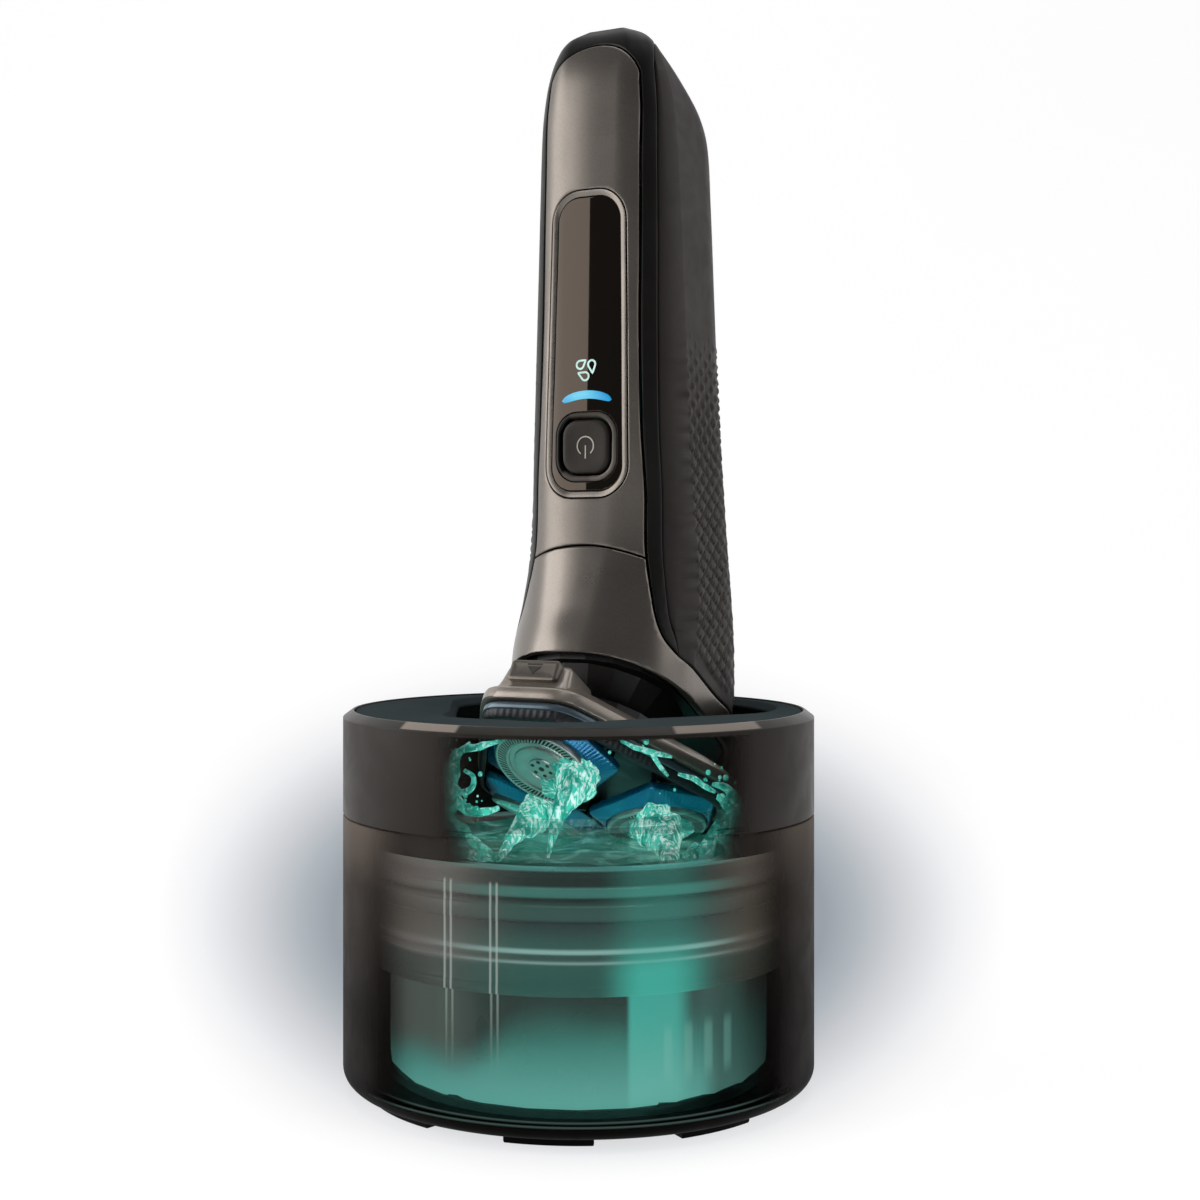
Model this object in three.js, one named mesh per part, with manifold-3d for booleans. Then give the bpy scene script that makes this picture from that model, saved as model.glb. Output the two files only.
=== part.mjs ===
// A cordless rotary shaver standing head down in its round cleaning pod.
// Millimetres, +Z up. The origin is on the floor at the pod's axis, and the product's front faces -Y.
import * as THREE from "three";
import { mergeVertices } from "three/addons/utils/BufferGeometryUtils.js";
import Module from "manifold-3d";

const wasm = await Module();
wasm.setup();

// Clearances
const fitGap = 0.3; // between two pieces that touch
const slideGap = 0.35; // round a button in its hole
const sliver = 0.05; // edges shorter than this are merged away

// Shaving unit, seen along its axis
const capRadius = 10.0;
const podRim = 1.6; // how far a head's pod reaches past its cap at the nearest side
const headCircle = capRadius + podRim + 5.1; // from the unit's axis to each head's axis
const headLean = 16; // each head leans outwards by this
const unitShortSide = headCircle + capRadius + podRim + 2.0; // from the unit's axis to each short side
const unitLongSide = unitShortSide - 6.7; // from the unit's axis to each long side

// Cleaning pod: housings. The pod is as wide as the handle's neck and its rim need.
const handleBack = 41.0; // the handle's furthest reach behind the pod's axis
const openingRoom = 1.2; // between the handle and the opening's edge
const rimWidth = 5.3;
const podRadius = handleBack + openingRoom + rimWidth;
const podWall = 2.2;
const footHeight = 1.8;
const footCount = 8;
const footOuter = podRadius - 4.7;
const footInner = footOuter - 7.3;
const baseEdge = 3.4; // rounding of the base's lower edge
const baseFloor = 1.2;
const skirtDepth = 4.8; // how far the upper housing plugs into the base
const skirtWall = 1.4;
const rimChamfer = 1.35;
const rimChamferWidth = 1.8;
const topPlateThickness = 1.9;
const ledgeWidth = 1.9;

// Cleaning pod: bowl and cartridge
const bowlFlange = 1.5;
const bowlWall = 1.5;
const bowlMouth = unitShortSide + 4.4; // inner radius where the flange begins
const bowlBottomRadius = bowlMouth - 9.2;
const drainRadius = 4.6;
const drainPlace = { x: 17, y: 4 };
const cupRadius = podRadius - podWall - 5.2;
const cupWall = 1.2;
const cupDraft = 0.4;
const lidWall = 1.2;
const lidTop = 49.7;
const lidHeight = 22.9;
const lidSkirtFoot = lidTop - lidHeight;
const lidWeb = 1.5;
const lidMouth = bowlMouth + 0.5;
const cupHeight = lidTop - lidWeb - fitGap;
const lidBand = 0.5; // how far the raised bands stand out
const sealHeight = 2.2;
const sealWidth = 2.6;
const pipeRadius = 4.9;
const pipeWall = 1.25;
const pipeFoot = 8.4;
const pipePlace = { x: -5.5, y: 9.1 - cupRadius };
const filterFins = 8;
const filterHeight = 8.5;
const filterOuter = cupRadius - 3.9;
const filterInner = filterOuter - 7.2;
const filterAngle = -12; // degrees round the pod from +X
const filterSpan = 46;
// Heights of the upper housing, counted from the cartridge's lid
const seamRise = 5.6;
const seamHeight = lidTop + seamRise; // between the two housings
const upperHeight = 20.7;
const podHeight = seamHeight + upperHeight;
const seamLip = 0.8; // of the cartridge's seal, between the seam and the bowl's flange
const flangeBottom = seamHeight + fitGap + seamLip + fitGap;
const flangeTop = flangeBottom + bowlFlange;
const bowlDepth = 6.7; // the bowl's bottom hangs this far under the lid's top
const bowlBottomHeight = lidTop - bowlDepth;
const fluidRoom = 6.0; // between the bowl and the fluid's surface
const fluidLevel = bowlBottomHeight - fluidRoom;

// Opening of the pod's top, from the front chin round to the back
const openingFront = 27.6;
const openingChin = 12.4;
const openingHalfWidth = 34.3;
const openingWidest = 12;
const openingBack = handleBack + openingRoom;

// Shaving unit: its own frame stands at unitCentre and leans back by unitTilt
const unitRise = 0.7;
const unitCentre = { y: -0.5, z: seamHeight + unitRise };
const unitTilt = 32;
const bandBottom = 5.0;
const bandTop = 8.4;
const plateBottom = bandTop + 0.9;
const plateThickness = 1.0;
const gearBottom = plateBottom + plateThickness + 0.6;
const bezelTop = gearBottom + 0.3;
const bezelCrown = bezelTop + 5.0;
const bandSeat = unitLongSide - 2.9; // where the bowl's arms and post reach under the band
const neckRoom = 0.85; // from the bowl's flange to the lowest point of the handle's rim
const rimLevel =
  (neckRoom + flangeTop - unitCentre.z) * Math.cos(THREE.MathUtils.degToRad(unitTilt)) +
  (handleBack - 0.7 - unitCentre.y) * Math.sin(THREE.MathUtils.degToRad(unitTilt));
const crownHalf = 15.1; // the crown carries the neck's collar
const crownInset = unitLongSide - crownHalf;
const unitWall = 1.8;
const neckHole = 12.5;
const neckCollar = 14.6; // rests on the bezel's crown

// Shaving heads
const capWall = 0.7;
const capDepth = 4.4;
const capFloor = 1.1; // thickness from the skin side to the cap's inner face
const trackWidth = 2.3;
const trackInner = capRadius - trackWidth;
const slotCount = 20;
const slotWidth = 0.8;
const slotSkew = 14; // degrees from the radius
const podFace = 2.4;
const podPlate = capDepth + 0.2 - podFace;
const tiltAxis = 7.0; // height of the heads' tilting axis over the skin side
const pinRadius = 0.9;
const pinReach = capRadius + 2.8;
const armThickness = 1.6;
const cutterBlades = 9;
const cutterRadius = capRadius - capWall - 0.4;
const hubRadius = 2.6;
const socketRadius = 1.6;
const spindleRadius = 1.0;

// Gear train and motor
const sunTeeth = 12;
const planetTeeth = 16;
const gearThickness = 1.6;
const shaftRadius = 1.5;
const shaftBore = 2.1;
const motorRadius = 9.5;
const motorWall = 1.2;
const motorLength = 20.0;
const neckPlate = 2.6;

// Handle
const shellWall = 1.5;
const panelDepth = 1.6; // how far the front panel wraps behind the front line
const panelFlare = 1.6; // how much further it wraps at the neck
const bandWidth = 2.6; // gloss band between panel and grip
const panelTopHalf = 10.9; // the panel's rounded top: half its width, and its rise
const panelTopRise = 9.3;
const handleFoot = unitCentre.z; // the handle's heights are counted from here
const handleLength = 160.3;
const displayTop = handleFoot + handleLength - 35.7;
const surroundWidth = 1.3;
const glassThickness = 1.4;
const glassRecess = 0.5;
const buttonRise = 73.1;
const buttonHeight = handleFoot + buttonRise;
const buttonSize = 11.2;
const displayBottom = buttonHeight - buttonSize / 2 - 3.5;
const displayHalfBottom = buttonSize / 2 + 2.7;
const displayHalfTop = displayHalfBottom - 1.0;
const seamTop = displayBottom - 11.0; // where the panel meets the neck, at the middle
const seamDrop = 3.4; // how much lower the seam is at the sides
const buttonCorner = 3.4;
const buttonFrame = 1.2;
const buttonTravel = 0.5;
const arcHeight = buttonHeight + buttonSize / 2 + 4.5;
const arcHalfWidth = 6.0;
const arcThickness = 1.7;
const arcRise = 1.3;
const boardThickness = 1.2;
const boardWidth = 19.0;
const boardFront = 9.2;
const frameFront = 13.6;
const frameThickness = 1.5;
const batteryRadius = 7.0;
const batteryLength = 50.0;
const batteryBottom = displayBottom - 3.0;
const batteryRoom = 1.3; // between the frame and the battery
const batteryPlace = frameFront + frameThickness + batteryRoom + batteryRadius;
const socketPlace = { y: 26.4, z: handleFoot + handleLength - 11.1 };
const socketLean = 36;
const releaseWidth = 11.2;
const releaseHeight = 4.7;
const releaseDepth = 3.0;
const releaseTravel = 0.8;
const releaseFront = -unitShortSide + 0.4;
const releaseFoot = bezelTop + 1.7; // the button's lower edge

// Handle stations: share of the handle's length, front of the section, its depth as a share of the
// way to the handle's furthest back, half width, front and back corner radii. The loft is smooth.
const stations = [
  { share: 0.0, front: -5.6, depth: 0.968, half: 20.0, cornerFront: 17.5, cornerBack: 14.0 },
  { share: 0.0998, front: -6.0, depth: 0.991, half: 20.3, cornerFront: 17.8, cornerBack: 14.0 },
  { share: 0.1871, front: -5.6, depth: 1.0, half: 20.2, cornerFront: 17.6, cornerBack: 14.0 },
  { share: 0.2589, front: -1.2, depth: 0.993, half: 19.5, cornerFront: 16.0, cornerBack: 13.5 },
  { share: 0.3306, front: 1.8, depth: 0.98, half: 18.6, cornerFront: 13.9, cornerBack: 13.0 },
  { share: 0.4616, front: 2.5, depth: 0.948, half: 17.6, cornerFront: 12.2, cornerBack: 12.5 },
  { share: 0.6363, front: 3.4, depth: 0.915, half: 16.8, cornerFront: 11.1, cornerBack: 12.0 },
  { share: 0.786, front: 4.0, depth: 0.897, half: 15.9, cornerFront: 10.0, cornerBack: 11.5 },
  { share: 0.8609, front: 4.3, depth: 0.875, half: 15.3, cornerFront: 9.3, cornerBack: 11.0 },
  { share: 0.8983, front: 4.6, depth: 0.786, half: 14.7, cornerFront: 8.8, cornerBack: 10.5 },
  { share: 0.9357, front: 5.4, depth: 0.573, half: 13.5, cornerFront: 7.6, cornerBack: 9.0 },
  { share: 0.9669, front: 7.0, depth: 0.329, half: 11.6, cornerFront: 5.4, cornerBack: 5.6 },
  { share: 0.9888, front: 9.0, depth: 0.194, half: 8.8, cornerFront: 3.0, cornerBack: 3.0 },
  { share: 1.0, front: 11.2, depth: 0.067, half: 4.4, cornerFront: 0.9, cornerBack: 0.9 },
].map((station) => ({
  ...station,
  z: handleFoot + handleLength * station.share,
  back: station.front + (handleBack - station.front) * station.depth,
}));

const finish = {
  housing: { color: 0x2a2623, roughness: 0.35, metalness: 0.1 },
  clear: { color: 0xb9c6c2, roughness: 0.08, metalness: 0.0, transparent: true, opacity: 0.35 },
  fluid: { color: 0x2fb59a, roughness: 0.1, metalness: 0.0 },
  bronze: { color: 0x6b6560, roughness: 0.32, metalness: 0.85 },
  silver: { color: 0xb5b3b0, roughness: 0.25, metalness: 0.9 },
  black: { color: 0x0e0d0c, roughness: 0.12, metalness: 0.0 },
  rubber: { color: 0x34302d, roughness: 0.65, metalness: 0.0 },
  blue: { color: 0x1b5f86, roughness: 0.3, metalness: 0.7 },
  steel: { color: 0x9a9c9e, roughness: 0.3, metalness: 0.95 },
  light: { color: 0x2aa3ff, roughness: 0.3, metalness: 0.0 },
  nylon: { color: 0xe4e0d6, roughness: 0.5, metalness: 0.0 },
  board: { color: 0x1e5b3a, roughness: 0.5, metalness: 0.0 },
  cell: { color: 0x2f6fb2, roughness: 0.4, metalness: 0.1 },
};

const degrees = THREE.MathUtils.degToRad;
const root = new THREE.Group();

// ---- solids from three.js geometry ----

function solid(geometry, matrix) {
  const bare = geometry.clone();
  for (const name of Object.keys(bare.attributes)) {
    if (name !== "position") bare.deleteAttribute(name);
  }
  if (matrix) bare.applyMatrix4(matrix);
  const merged = mergeVertices(bare, 1e-4);
  const corners = [];
  const index = merged.index.array;
  for (let i = 0; i < index.length; i += 3) {
    const [a, b, c] = [index[i], index[i + 1], index[i + 2]];
    if (a !== b && b !== c && c !== a) corners.push(a, b, c);
  }
  return new wasm.Manifold(
    new wasm.Mesh({
      numProp: 3,
      vertProperties: merged.attributes.position.array,
      triVerts: new Uint32Array(corners),
    }),
  );
}

function geometryOf(body) {
  const mesh = body.getMesh();
  return new THREE.BufferGeometry()
    .setAttribute("position", new THREE.BufferAttribute(mesh.vertProperties, 3))
    .setIndex(new THREE.BufferAttribute(mesh.triVerts, 1));
}

function place(name, body, look, parent = root) {
  const geometry = geometryOf(body.simplify(sliver));
  geometry.computeVertexNormals();
  const mesh = new THREE.Mesh(geometry, new THREE.MeshStandardMaterial(finish[look]));
  mesh.name = name;
  parent.add(mesh);
  return mesh;
}

function box(width, depth, height, x, y, z) {
  return solid(new THREE.BoxGeometry(width, depth, height).translate(x, y, z));
}

// A round post on the Z axis from z0 to z1, which may taper.
function post(radius, z0, z1, sides = 32, topRadius = radius) {
  const geometry = new THREE.CylinderGeometry(topRadius, radius, z1 - z0, sides);
  return solid(geometry.rotateX(Math.PI / 2).translate(0, 0, (z0 + z1) / 2));
}

// A closed profile of [radius, height] points, listed with the solid on the left, turned about Z.
function revolve(profile, sides) {
  const points = profile.map(([radius, height]) => new THREE.Vector2(radius, height));
  if (profile[0][0] > 0 || profile.at(-1)[0] > 0) points.push(points[0].clone());
  return solid(new THREE.LatheGeometry(points, sides).rotateX(Math.PI / 2));
}

// A closed outline of [x, y] points drawn up from z0 to z1.
function prism(outline, z0, z1) {
  const shape = new THREE.Shape(outline.map(([x, y]) => new THREE.Vector2(x, y)));
  const geometry = new THREE.ExtrudeGeometry(shape, { depth: z1 - z0, bevelEnabled: false });
  return solid(geometry.translate(0, 0, z0));
}

// Rings of as many points each, joined by a skin and closed at both ends.
function loft(rings) {
  const count = rings[0].length;
  const positions = rings.flat(2);
  const index = [];
  for (let level = 0; level + 1 < rings.length; level += 1) {
    for (let i = 0; i < count; i += 1) {
      const a = level * count + i;
      const b = level * count + ((i + 1) % count);
      index.push(a, b, b + count, a, b + count, a + count);
    }
  }
  for (const [level, flip] of [[0, true], [rings.length - 1, false]]) {
    const centre = positions.length / 3;
    for (let axis = 0; axis < 3; axis += 1) {
      positions.push(rings[level].reduce((sum, point) => sum + point[axis], 0) / count);
    }
    for (let i = 0; i < count; i += 1) {
      const a = level * count + i;
      const b = level * count + ((i + 1) % count);
      index.push(centre, flip ? b : a, flip ? a : b);
    }
  }
  const geometry = new THREE.BufferGeometry();
  geometry.setAttribute("position", new THREE.Float32BufferAttribute(positions, 3));
  geometry.setIndex(index);
  return solid(geometry);
}

function moved(body, matrix) {
  return solid(geometryOf(body), matrix);
}

function shifted(body, x, y, z) {
  return moved(body, new THREE.Matrix4().makeTranslation(x, y, z));
}

// A rounded outline bounded by straight sides, each given by its direction and its distance.
// A higher sharpness gives tighter corners.
function sidedOutline(sides, sharpness, count, grow = 0) {
  const outline = [];
  for (let i = 0; i < count; i += 1) {
    const angle = (i / count) * 2 * Math.PI;
    let sum = 0;
    for (const [direction, distance] of sides) {
      const reach = Math.cos(angle - degrees(direction)) / (distance + grow);
      if (reach > 0) sum += reach ** sharpness;
    }
    const radius = sum ** (-1 / sharpness);
    outline.push([radius * Math.cos(angle), radius * Math.sin(angle)]);
  }
  return outline;
}

function atHeight(outline, z) {
  return outline.map(([x, y]) => [x, y, z]);
}

// ---- cleaning pod ----

const wallInner = podRadius - podWall;
const roundSides = 32;
const innerSides = 24;

function sector(inner, outer, from, to, z0, z1, steps) {
  const outline = [];
  for (let i = 0; i <= steps; i += 1) {
    const angle = degrees(from + ((to - from) * i) / steps);
    outline.push([outer * Math.cos(angle), outer * Math.sin(angle)]);
  }
  for (let i = steps; i >= 0; i -= 1) {
    const angle = degrees(from + ((to - from) * i) / steps);
    outline.push([inner * Math.cos(angle), inner * Math.sin(angle)]);
  }
  return prism(outline, z0, z1);
}

function makeBaseHousing() {
  const floorTop = footHeight + baseFloor;
  const edge = [];
  for (let i = 0; i <= 3; i += 1) {
    const angle = ((i / 3) * Math.PI) / 2;
    edge.push([
      podRadius - baseEdge * (1 - Math.sin(angle)),
      footHeight + baseEdge * (1 - Math.cos(angle)),
    ]);
  }
  let body = revolve(
    [
      [0, footHeight],
      ...edge,
      [podRadius, seamHeight],
      [wallInner, seamHeight],
      [wallInner, floorTop + baseEdge],
      [wallInner - baseEdge, floorTop],
      [0, floorTop],
    ],
    roundSides,
  );
  const span = 360 / footCount / 2; // feet and the gaps between them are as wide
  for (let i = 0; i < footCount; i += 1) {
    const from = -90 + span / 2 + 2 * span * i;
    body = body.add(sector(footInner, footOuter, from, from + span, 0, footHeight + 0.4, 4));
  }
  place("base_housing", body, "housing");
}

function makeUpperHousing() {
  const bottom = seamHeight + fitGap;
  const skirtOuter = wallInner - fitGap;
  const skirtInner = skirtOuter - skirtWall;
  const ledgeTop = podHeight - topPlateThickness - fitGap;
  const body = revolve(
    [
      [skirtInner, bottom - skirtDepth],
      [skirtOuter, bottom - skirtDepth],
      [skirtOuter, bottom],
      [podRadius, bottom],
      [podRadius, podHeight - rimChamfer],
      [podRadius - rimChamferWidth, podHeight],
      [wallInner, podHeight],
      [wallInner, ledgeTop],
      [wallInner - ledgeWidth, ledgeTop],
      [wallInner, ledgeTop - 0.8 - ledgeWidth],
      [wallInner, bottom + 0.8],
      [skirtInner, bottom + 0.8],
    ],
    roundSides,
  );
  place("upper_housing", body, "housing");
}

// The opening's outline: a narrow chin in front, widest beside the head, round at the back.
function openingOutline(grow = 0) {
  const half = [
    [0, -openingFront - grow],
    [openingChin + grow * 0.7, -openingFront + 1.2 - grow],
    [(openingChin + openingHalfWidth) / 2 - 3.4 + grow, -openingFront / 2 - 1.0],
    [openingHalfWidth - 6.2 + grow, -2.0],
    [openingHalfWidth + grow, openingWidest - 2.0],
    [openingHalfWidth - 2.6 + grow, openingWidest + 12.0],
    [openingHalfWidth - 11.5 + grow * 0.8, openingBack - 7.4 + grow * 0.6],
    [openingHalfWidth / 3, openingBack - 1.2 + grow],
  ];
  const mirrored = half.slice(1).reverse().map(([x, y]) => [-x, y]);
  const points = [...half, [0, openingBack + grow], ...mirrored];
  const curve = new THREE.CatmullRomCurve3(
    points.map(([x, y]) => new THREE.Vector3(x, y, 0)), true, "centripetal",
  );
  return curve.getSpacedPoints(44).slice(0, 44).map((point) => [point.x, point.y]);
}

function makeTopPlate() {
  const top = podHeight - 0.25;
  const bottom = podHeight - topPlateThickness;
  const disc = post(wallInner - fitGap, bottom, top, roundSides);
  const funnel = loft([
    atHeight(openingOutline(0), bottom - 1),
    atHeight(openingOutline(0), bottom + 0.6),
    atHeight(openingOutline(1.3), top + 0.1),
    atHeight(openingOutline(1.3), top + 1),
  ]);
  place("top_plate", disc.subtract(funnel), "housing");
}

// Outer profile of the bowl from the middle of its bottom out to its flange.
function bowlProfile(offset) {
  const points = [];
  const bottom = bowlBottomHeight + offset;
  const mouth = bowlMouth + bowlWall - offset;
  for (let i = 0; i <= 3; i += 1) {
    const angle = ((i / 3) * Math.PI) / 2;
    points.push([
      bowlBottomRadius + (mouth - bowlBottomRadius) * Math.sin(angle),
      bottom + (flangeBottom - bottom) * (1 - Math.cos(angle)),
    ]);
  }
  return points;
}

function makeCleaningBowl() {
  const outer = bowlProfile(0);
  const inner = bowlProfile(bowlWall);
  let body = revolve(
    [
      [0, outer[0][1]],
      ...outer,
      [wallInner - fitGap, flangeBottom],
      [wallInner - fitGap, flangeTop],
      [inner.at(-1)[0], flangeTop],
      ...inner.slice().reverse(),
      [0, inner[0][1]],
    ],
    innerSides,
  );
  // Two arms and a post carry the shaving unit by the lower edge of its band.
  const above = unitSlab(bandBottom - fitGap, bandBottom + 40);
  const armReach = [bandSeat - 1.5, bowlMouth + 1.5];
  for (const side of [-1, 1]) {
    const middle = (side * (armReach[0] + armReach[1])) / 2;
    const arm = box(armReach[1] - armReach[0], 4.0, 12, middle, -8.0, flangeBottom + 0.5 + 6);
    body = body.add(arm.subtract(above));
  }
  const rest = box(7.0, 5.0, 8.0, 0, bandSeat, inner[0][1] + 3.6);
  body = body.add(rest.subtract(above));
  const drain = shifted(post(drainRadius, 0, 12, 16), drainPlace.x, drainPlace.y, bowlBottomHeight - 4);
  const bore = post(pipeRadius - pipeWall, 0, 12, 14);
  const feed = shifted(bore, pipePlace.x, pipePlace.y, bowlBottomHeight - 4);
  place("cleaning_bowl", body.subtract(drain).subtract(feed), "clear");
}

function makeBowlSeal() {
  const inner = bowlMouth + bowlWall + fitGap;
  const bottom = lidTop + fitGap;
  const body = revolve(
    [
      [inner, bottom],
      [inner + sealWidth, bottom],
      [inner + sealWidth, bottom + sealHeight * 0.6],
      [inner + sealWidth * 0.6, bottom + sealHeight],
      [inner, bottom + sealHeight],
    ],
    innerSides,
  );
  place("bowl_seal", body, "rubber");
}

const cupFloorBottom = footHeight + baseFloor + fitGap;
const cupFloorTop = cupFloorBottom + cupWall;

function makeCartridgeCup() {
  const foot = cupRadius - cupDraft;
  const body = revolve(
    [
      [0, cupFloorBottom],
      [foot - 2.4, cupFloorBottom],
      [foot - 0.7, cupFloorBottom + 0.7],
      [foot, cupFloorBottom + 2.4],
      [cupRadius, cupHeight],
      [cupRadius - cupWall, cupHeight],
      [foot - cupWall, cupFloorTop + 1.6],
      [foot - cupWall - 1.4, cupFloorTop],
      [0, cupFloorTop],
    ],
    innerSides,
  );
  place("cartridge_cup", body, "clear");
}

function makeCartridgeLid() {
  const inner = cupRadius + fitGap;
  const outer = inner + lidWall;
  const band = outer + lidBand;
  const webBottom = lidTop - lidWeb;
  const body = revolve(
    [
      [inner, lidSkirtFoot],
      [band, lidSkirtFoot],
      [band, lidSkirtFoot + 1.6],
      [outer, lidSkirtFoot + 2.0],
      [outer, lidSkirtFoot + 13.2],
      [band, lidSkirtFoot + 13.6],
      [band, lidSkirtFoot + 16.2],
      [outer, lidSkirtFoot + 16.6],
      [outer, lidTop],
      [lidMouth + 1.6, lidTop],
      [lidMouth + 1.6, webBottom],
      [inner, webBottom],
    ],
    innerSides,
  );
  place("cartridge_lid", body, "clear");
}

function makeStandpipe() {
  const top = bowlBottomHeight - fitGap;
  const neck = pipeRadius - 0.5;
  const body = revolve(
    [
      [pipeRadius - pipeWall, pipeFoot],
      [pipeRadius, pipeFoot],
      [pipeRadius, top - 3.6],
      [neck, top - 3.1],
      [neck, top],
      [neck - pipeWall, top],
      [neck - pipeWall, top - 3.1],
      [pipeRadius - pipeWall, top - 3.6],
    ],
    14,
  );
  let cage = body;
  for (let i = 0; i < 3; i += 1) {
    const angle = degrees(90 + i * 120);
    const reach = pipeRadius - pipeWall / 2;
    cage = cage.add(
      box(
        1.0, 1.0, pipeFoot + 0.4 - cupFloorTop - fitGap,
        reach * Math.cos(angle), reach * Math.sin(angle), (pipeFoot + 0.4 + cupFloorTop + fitGap) / 2,
      ),
    );
  }
  place("standpipe", shifted(cage, pipePlace.x, pipePlace.y, 0), "clear");
}

function makeFilter() {
  const bottom = cupFloorTop + fitGap;
  const from = filterAngle - filterSpan / 2;
  let body = sector(filterInner, filterOuter, from, from + filterSpan, bottom, bottom + 1.4, 6);
  const pitch = filterSpan / filterFins;
  for (let i = 0; i < filterFins; i += 1) {
    const start = from + i * pitch + pitch * 0.2;
    const [finFoot, finTop] = [bottom + 0.7, bottom + filterHeight];
    const finEnd = start + pitch * 0.42;
    const fin = sector(filterInner + 0.6, filterOuter - 0.3, start, finEnd, finFoot, finTop, 2);
    body = body.add(fin);
  }
  place("cartridge_filter", body, "clear");
}

function makeFluid() {
  const bottom = cupFloorTop + fitGap;
  const radius = cupRadius - cupDraft - cupWall - fitGap;
  let body = revolve(
    [
      [0, bottom],
      [radius - 1.8, bottom],
      [radius, bottom + 2.0],
      [radius, fluidLevel],
      [0, fluidLevel],
    ],
    innerSides,
  );
  const pipeSpace = post(pipeRadius + fitGap, bottom - 2, fluidLevel + 2, 14);
  body = body.subtract(shifted(pipeSpace, pipePlace.x, pipePlace.y, 0));
  const from = filterAngle - filterSpan / 2;
  const to = from + filterSpan;
  const top = bottom + filterHeight + fitGap;
  const filterSpace = sector(filterInner - 0.4, filterOuter + 0.4, from - 1, to + 1, bottom - 2, top, 6);
  place("cleaning_fluid", body.subtract(filterSpace), "fluid");
}

// ---- shaving unit ----

const unit = new THREE.Group();
unit.position.set(0, unitCentre.y, unitCentre.z);
unit.rotation.x = degrees(-unitTilt);
root.add(unit);
unit.updateMatrixWorld(true);
const unitToPart = unit.matrixWorld.clone();
const partToUnit = unitToPart.clone().invert();

// A wide slab between two levels of the shaving unit's frame, in the part's frame.
function unitSlab(from, to) {
  return moved(box(200, 200, to - from, 0, 0, (from + to) / 2), unitToPart);
}

function unitOutline(grow = 0, count = 30) {
  const sides = [];
  for (let i = 0; i < 3; i += 1) {
    sides.push([-90 + i * 120, unitShortSide], [-30 + i * 120, unitLongSide]);
  }
  return sidedOutline(sides, 18, count, grow);
}

const headAngles = [-90, 30, 150];
const headReach = headCircle - tiltAxis * Math.sin(degrees(headLean)); // where the spindles stand

function makeBezel() {
  const outer = loft([
    atHeight(unitOutline(0), bandTop + fitGap),
    atHeight(unitOutline(0), bezelTop),
    atHeight(unitOutline(-1.1), bezelTop + 1.2),
    atHeight(unitOutline(-crownInset), bezelCrown),
  ]);
  const inner = loft([
    atHeight(unitOutline(-unitWall), bandTop - 1),
    atHeight(unitOutline(-unitWall), bezelTop - 0.6),
    atHeight(unitOutline(-unitWall - 1.6), bezelTop + 0.6),
    atHeight(unitOutline(-crownInset - unitWall), bezelCrown - unitWall),
  ]);
  const saddleTop = bezelCrown + 1.2;
  const saddle = box(
    releaseWidth + 5.0, 12.4, saddleTop - bezelTop, 0, -unitShortSide + 7.6, (saddleTop + bezelTop) / 2,
  );
  const pocketBack = releaseFront + releaseDepth + releaseTravel + fitGap;
  const pocketDepth = 6;
  const pocket = box(
    releaseWidth + 2 * slideGap, pocketDepth, releaseHeight + 3,
    0, pocketBack - pocketDepth / 2, releaseFoot - slideGap + (releaseHeight + 3) / 2,
  );
  const shape = outer.add(saddle.subtract(inner)).subtract(inner).subtract(pocket);
  const throat = post(neckHole, 0, 40, 30).add(post(neckCollar + fitGap, bezelCrown, 40, 30));
  place("unit_bezel", shape.subtract(throat), "bronze", unit);
}

function makeReleaseButton() {
  const outline = sidedOutline(
    [[0, releaseWidth / 2], [180, releaseWidth / 2], [90, releaseHeight / 2], [-90, releaseHeight / 2]],
    9,
    24,
  );
  const matrix = new THREE.Matrix4()
    .makeTranslation(0, releaseFront + releaseDepth, releaseFoot + releaseHeight / 2)
    .multiply(new THREE.Matrix4().makeRotationX(Math.PI / 2));
  const small = outline.map(([x, y]) => [x * 0.93, y * 0.86]);
  const body = loft([
    atHeight(outline, 0),
    atHeight(outline, releaseDepth - 0.5),
    atHeight(small, releaseDepth),
  ]);
  place("release_button", moved(body, matrix), "bronze", unit);
}

function makeHairChamber() {
  const outer = loft([
    atHeight(unitOutline(-1.5), bandBottom),
    atHeight(unitOutline(-0.8), bandBottom + 0.9),
    atHeight(unitOutline(-0.8), bandTop),
  ]);
  const inner = loft([
    atHeight(unitOutline(-2.2), bandBottom - 1),
    atHeight(unitOutline(-2.2), bandTop + 1),
  ]);
  place("hair_chamber", outer.subtract(inner), "blue", unit);
}

// Frame of one head: origin at the middle of its skin side, +X outwards, +Z into the shaver.
function headMatrix(angle) {
  return new THREE.Matrix4()
    .makeRotationZ(degrees(angle))
    .multiply(new THREE.Matrix4().makeTranslation(headCircle, 0, 0))
    .multiply(new THREE.Matrix4().makeRotationY(degrees(-headLean)));
}

function headGroup(angle) {
  const group = new THREE.Group();
  group.applyMatrix4(headMatrix(angle));
  unit.add(group);
  return group;
}

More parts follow.
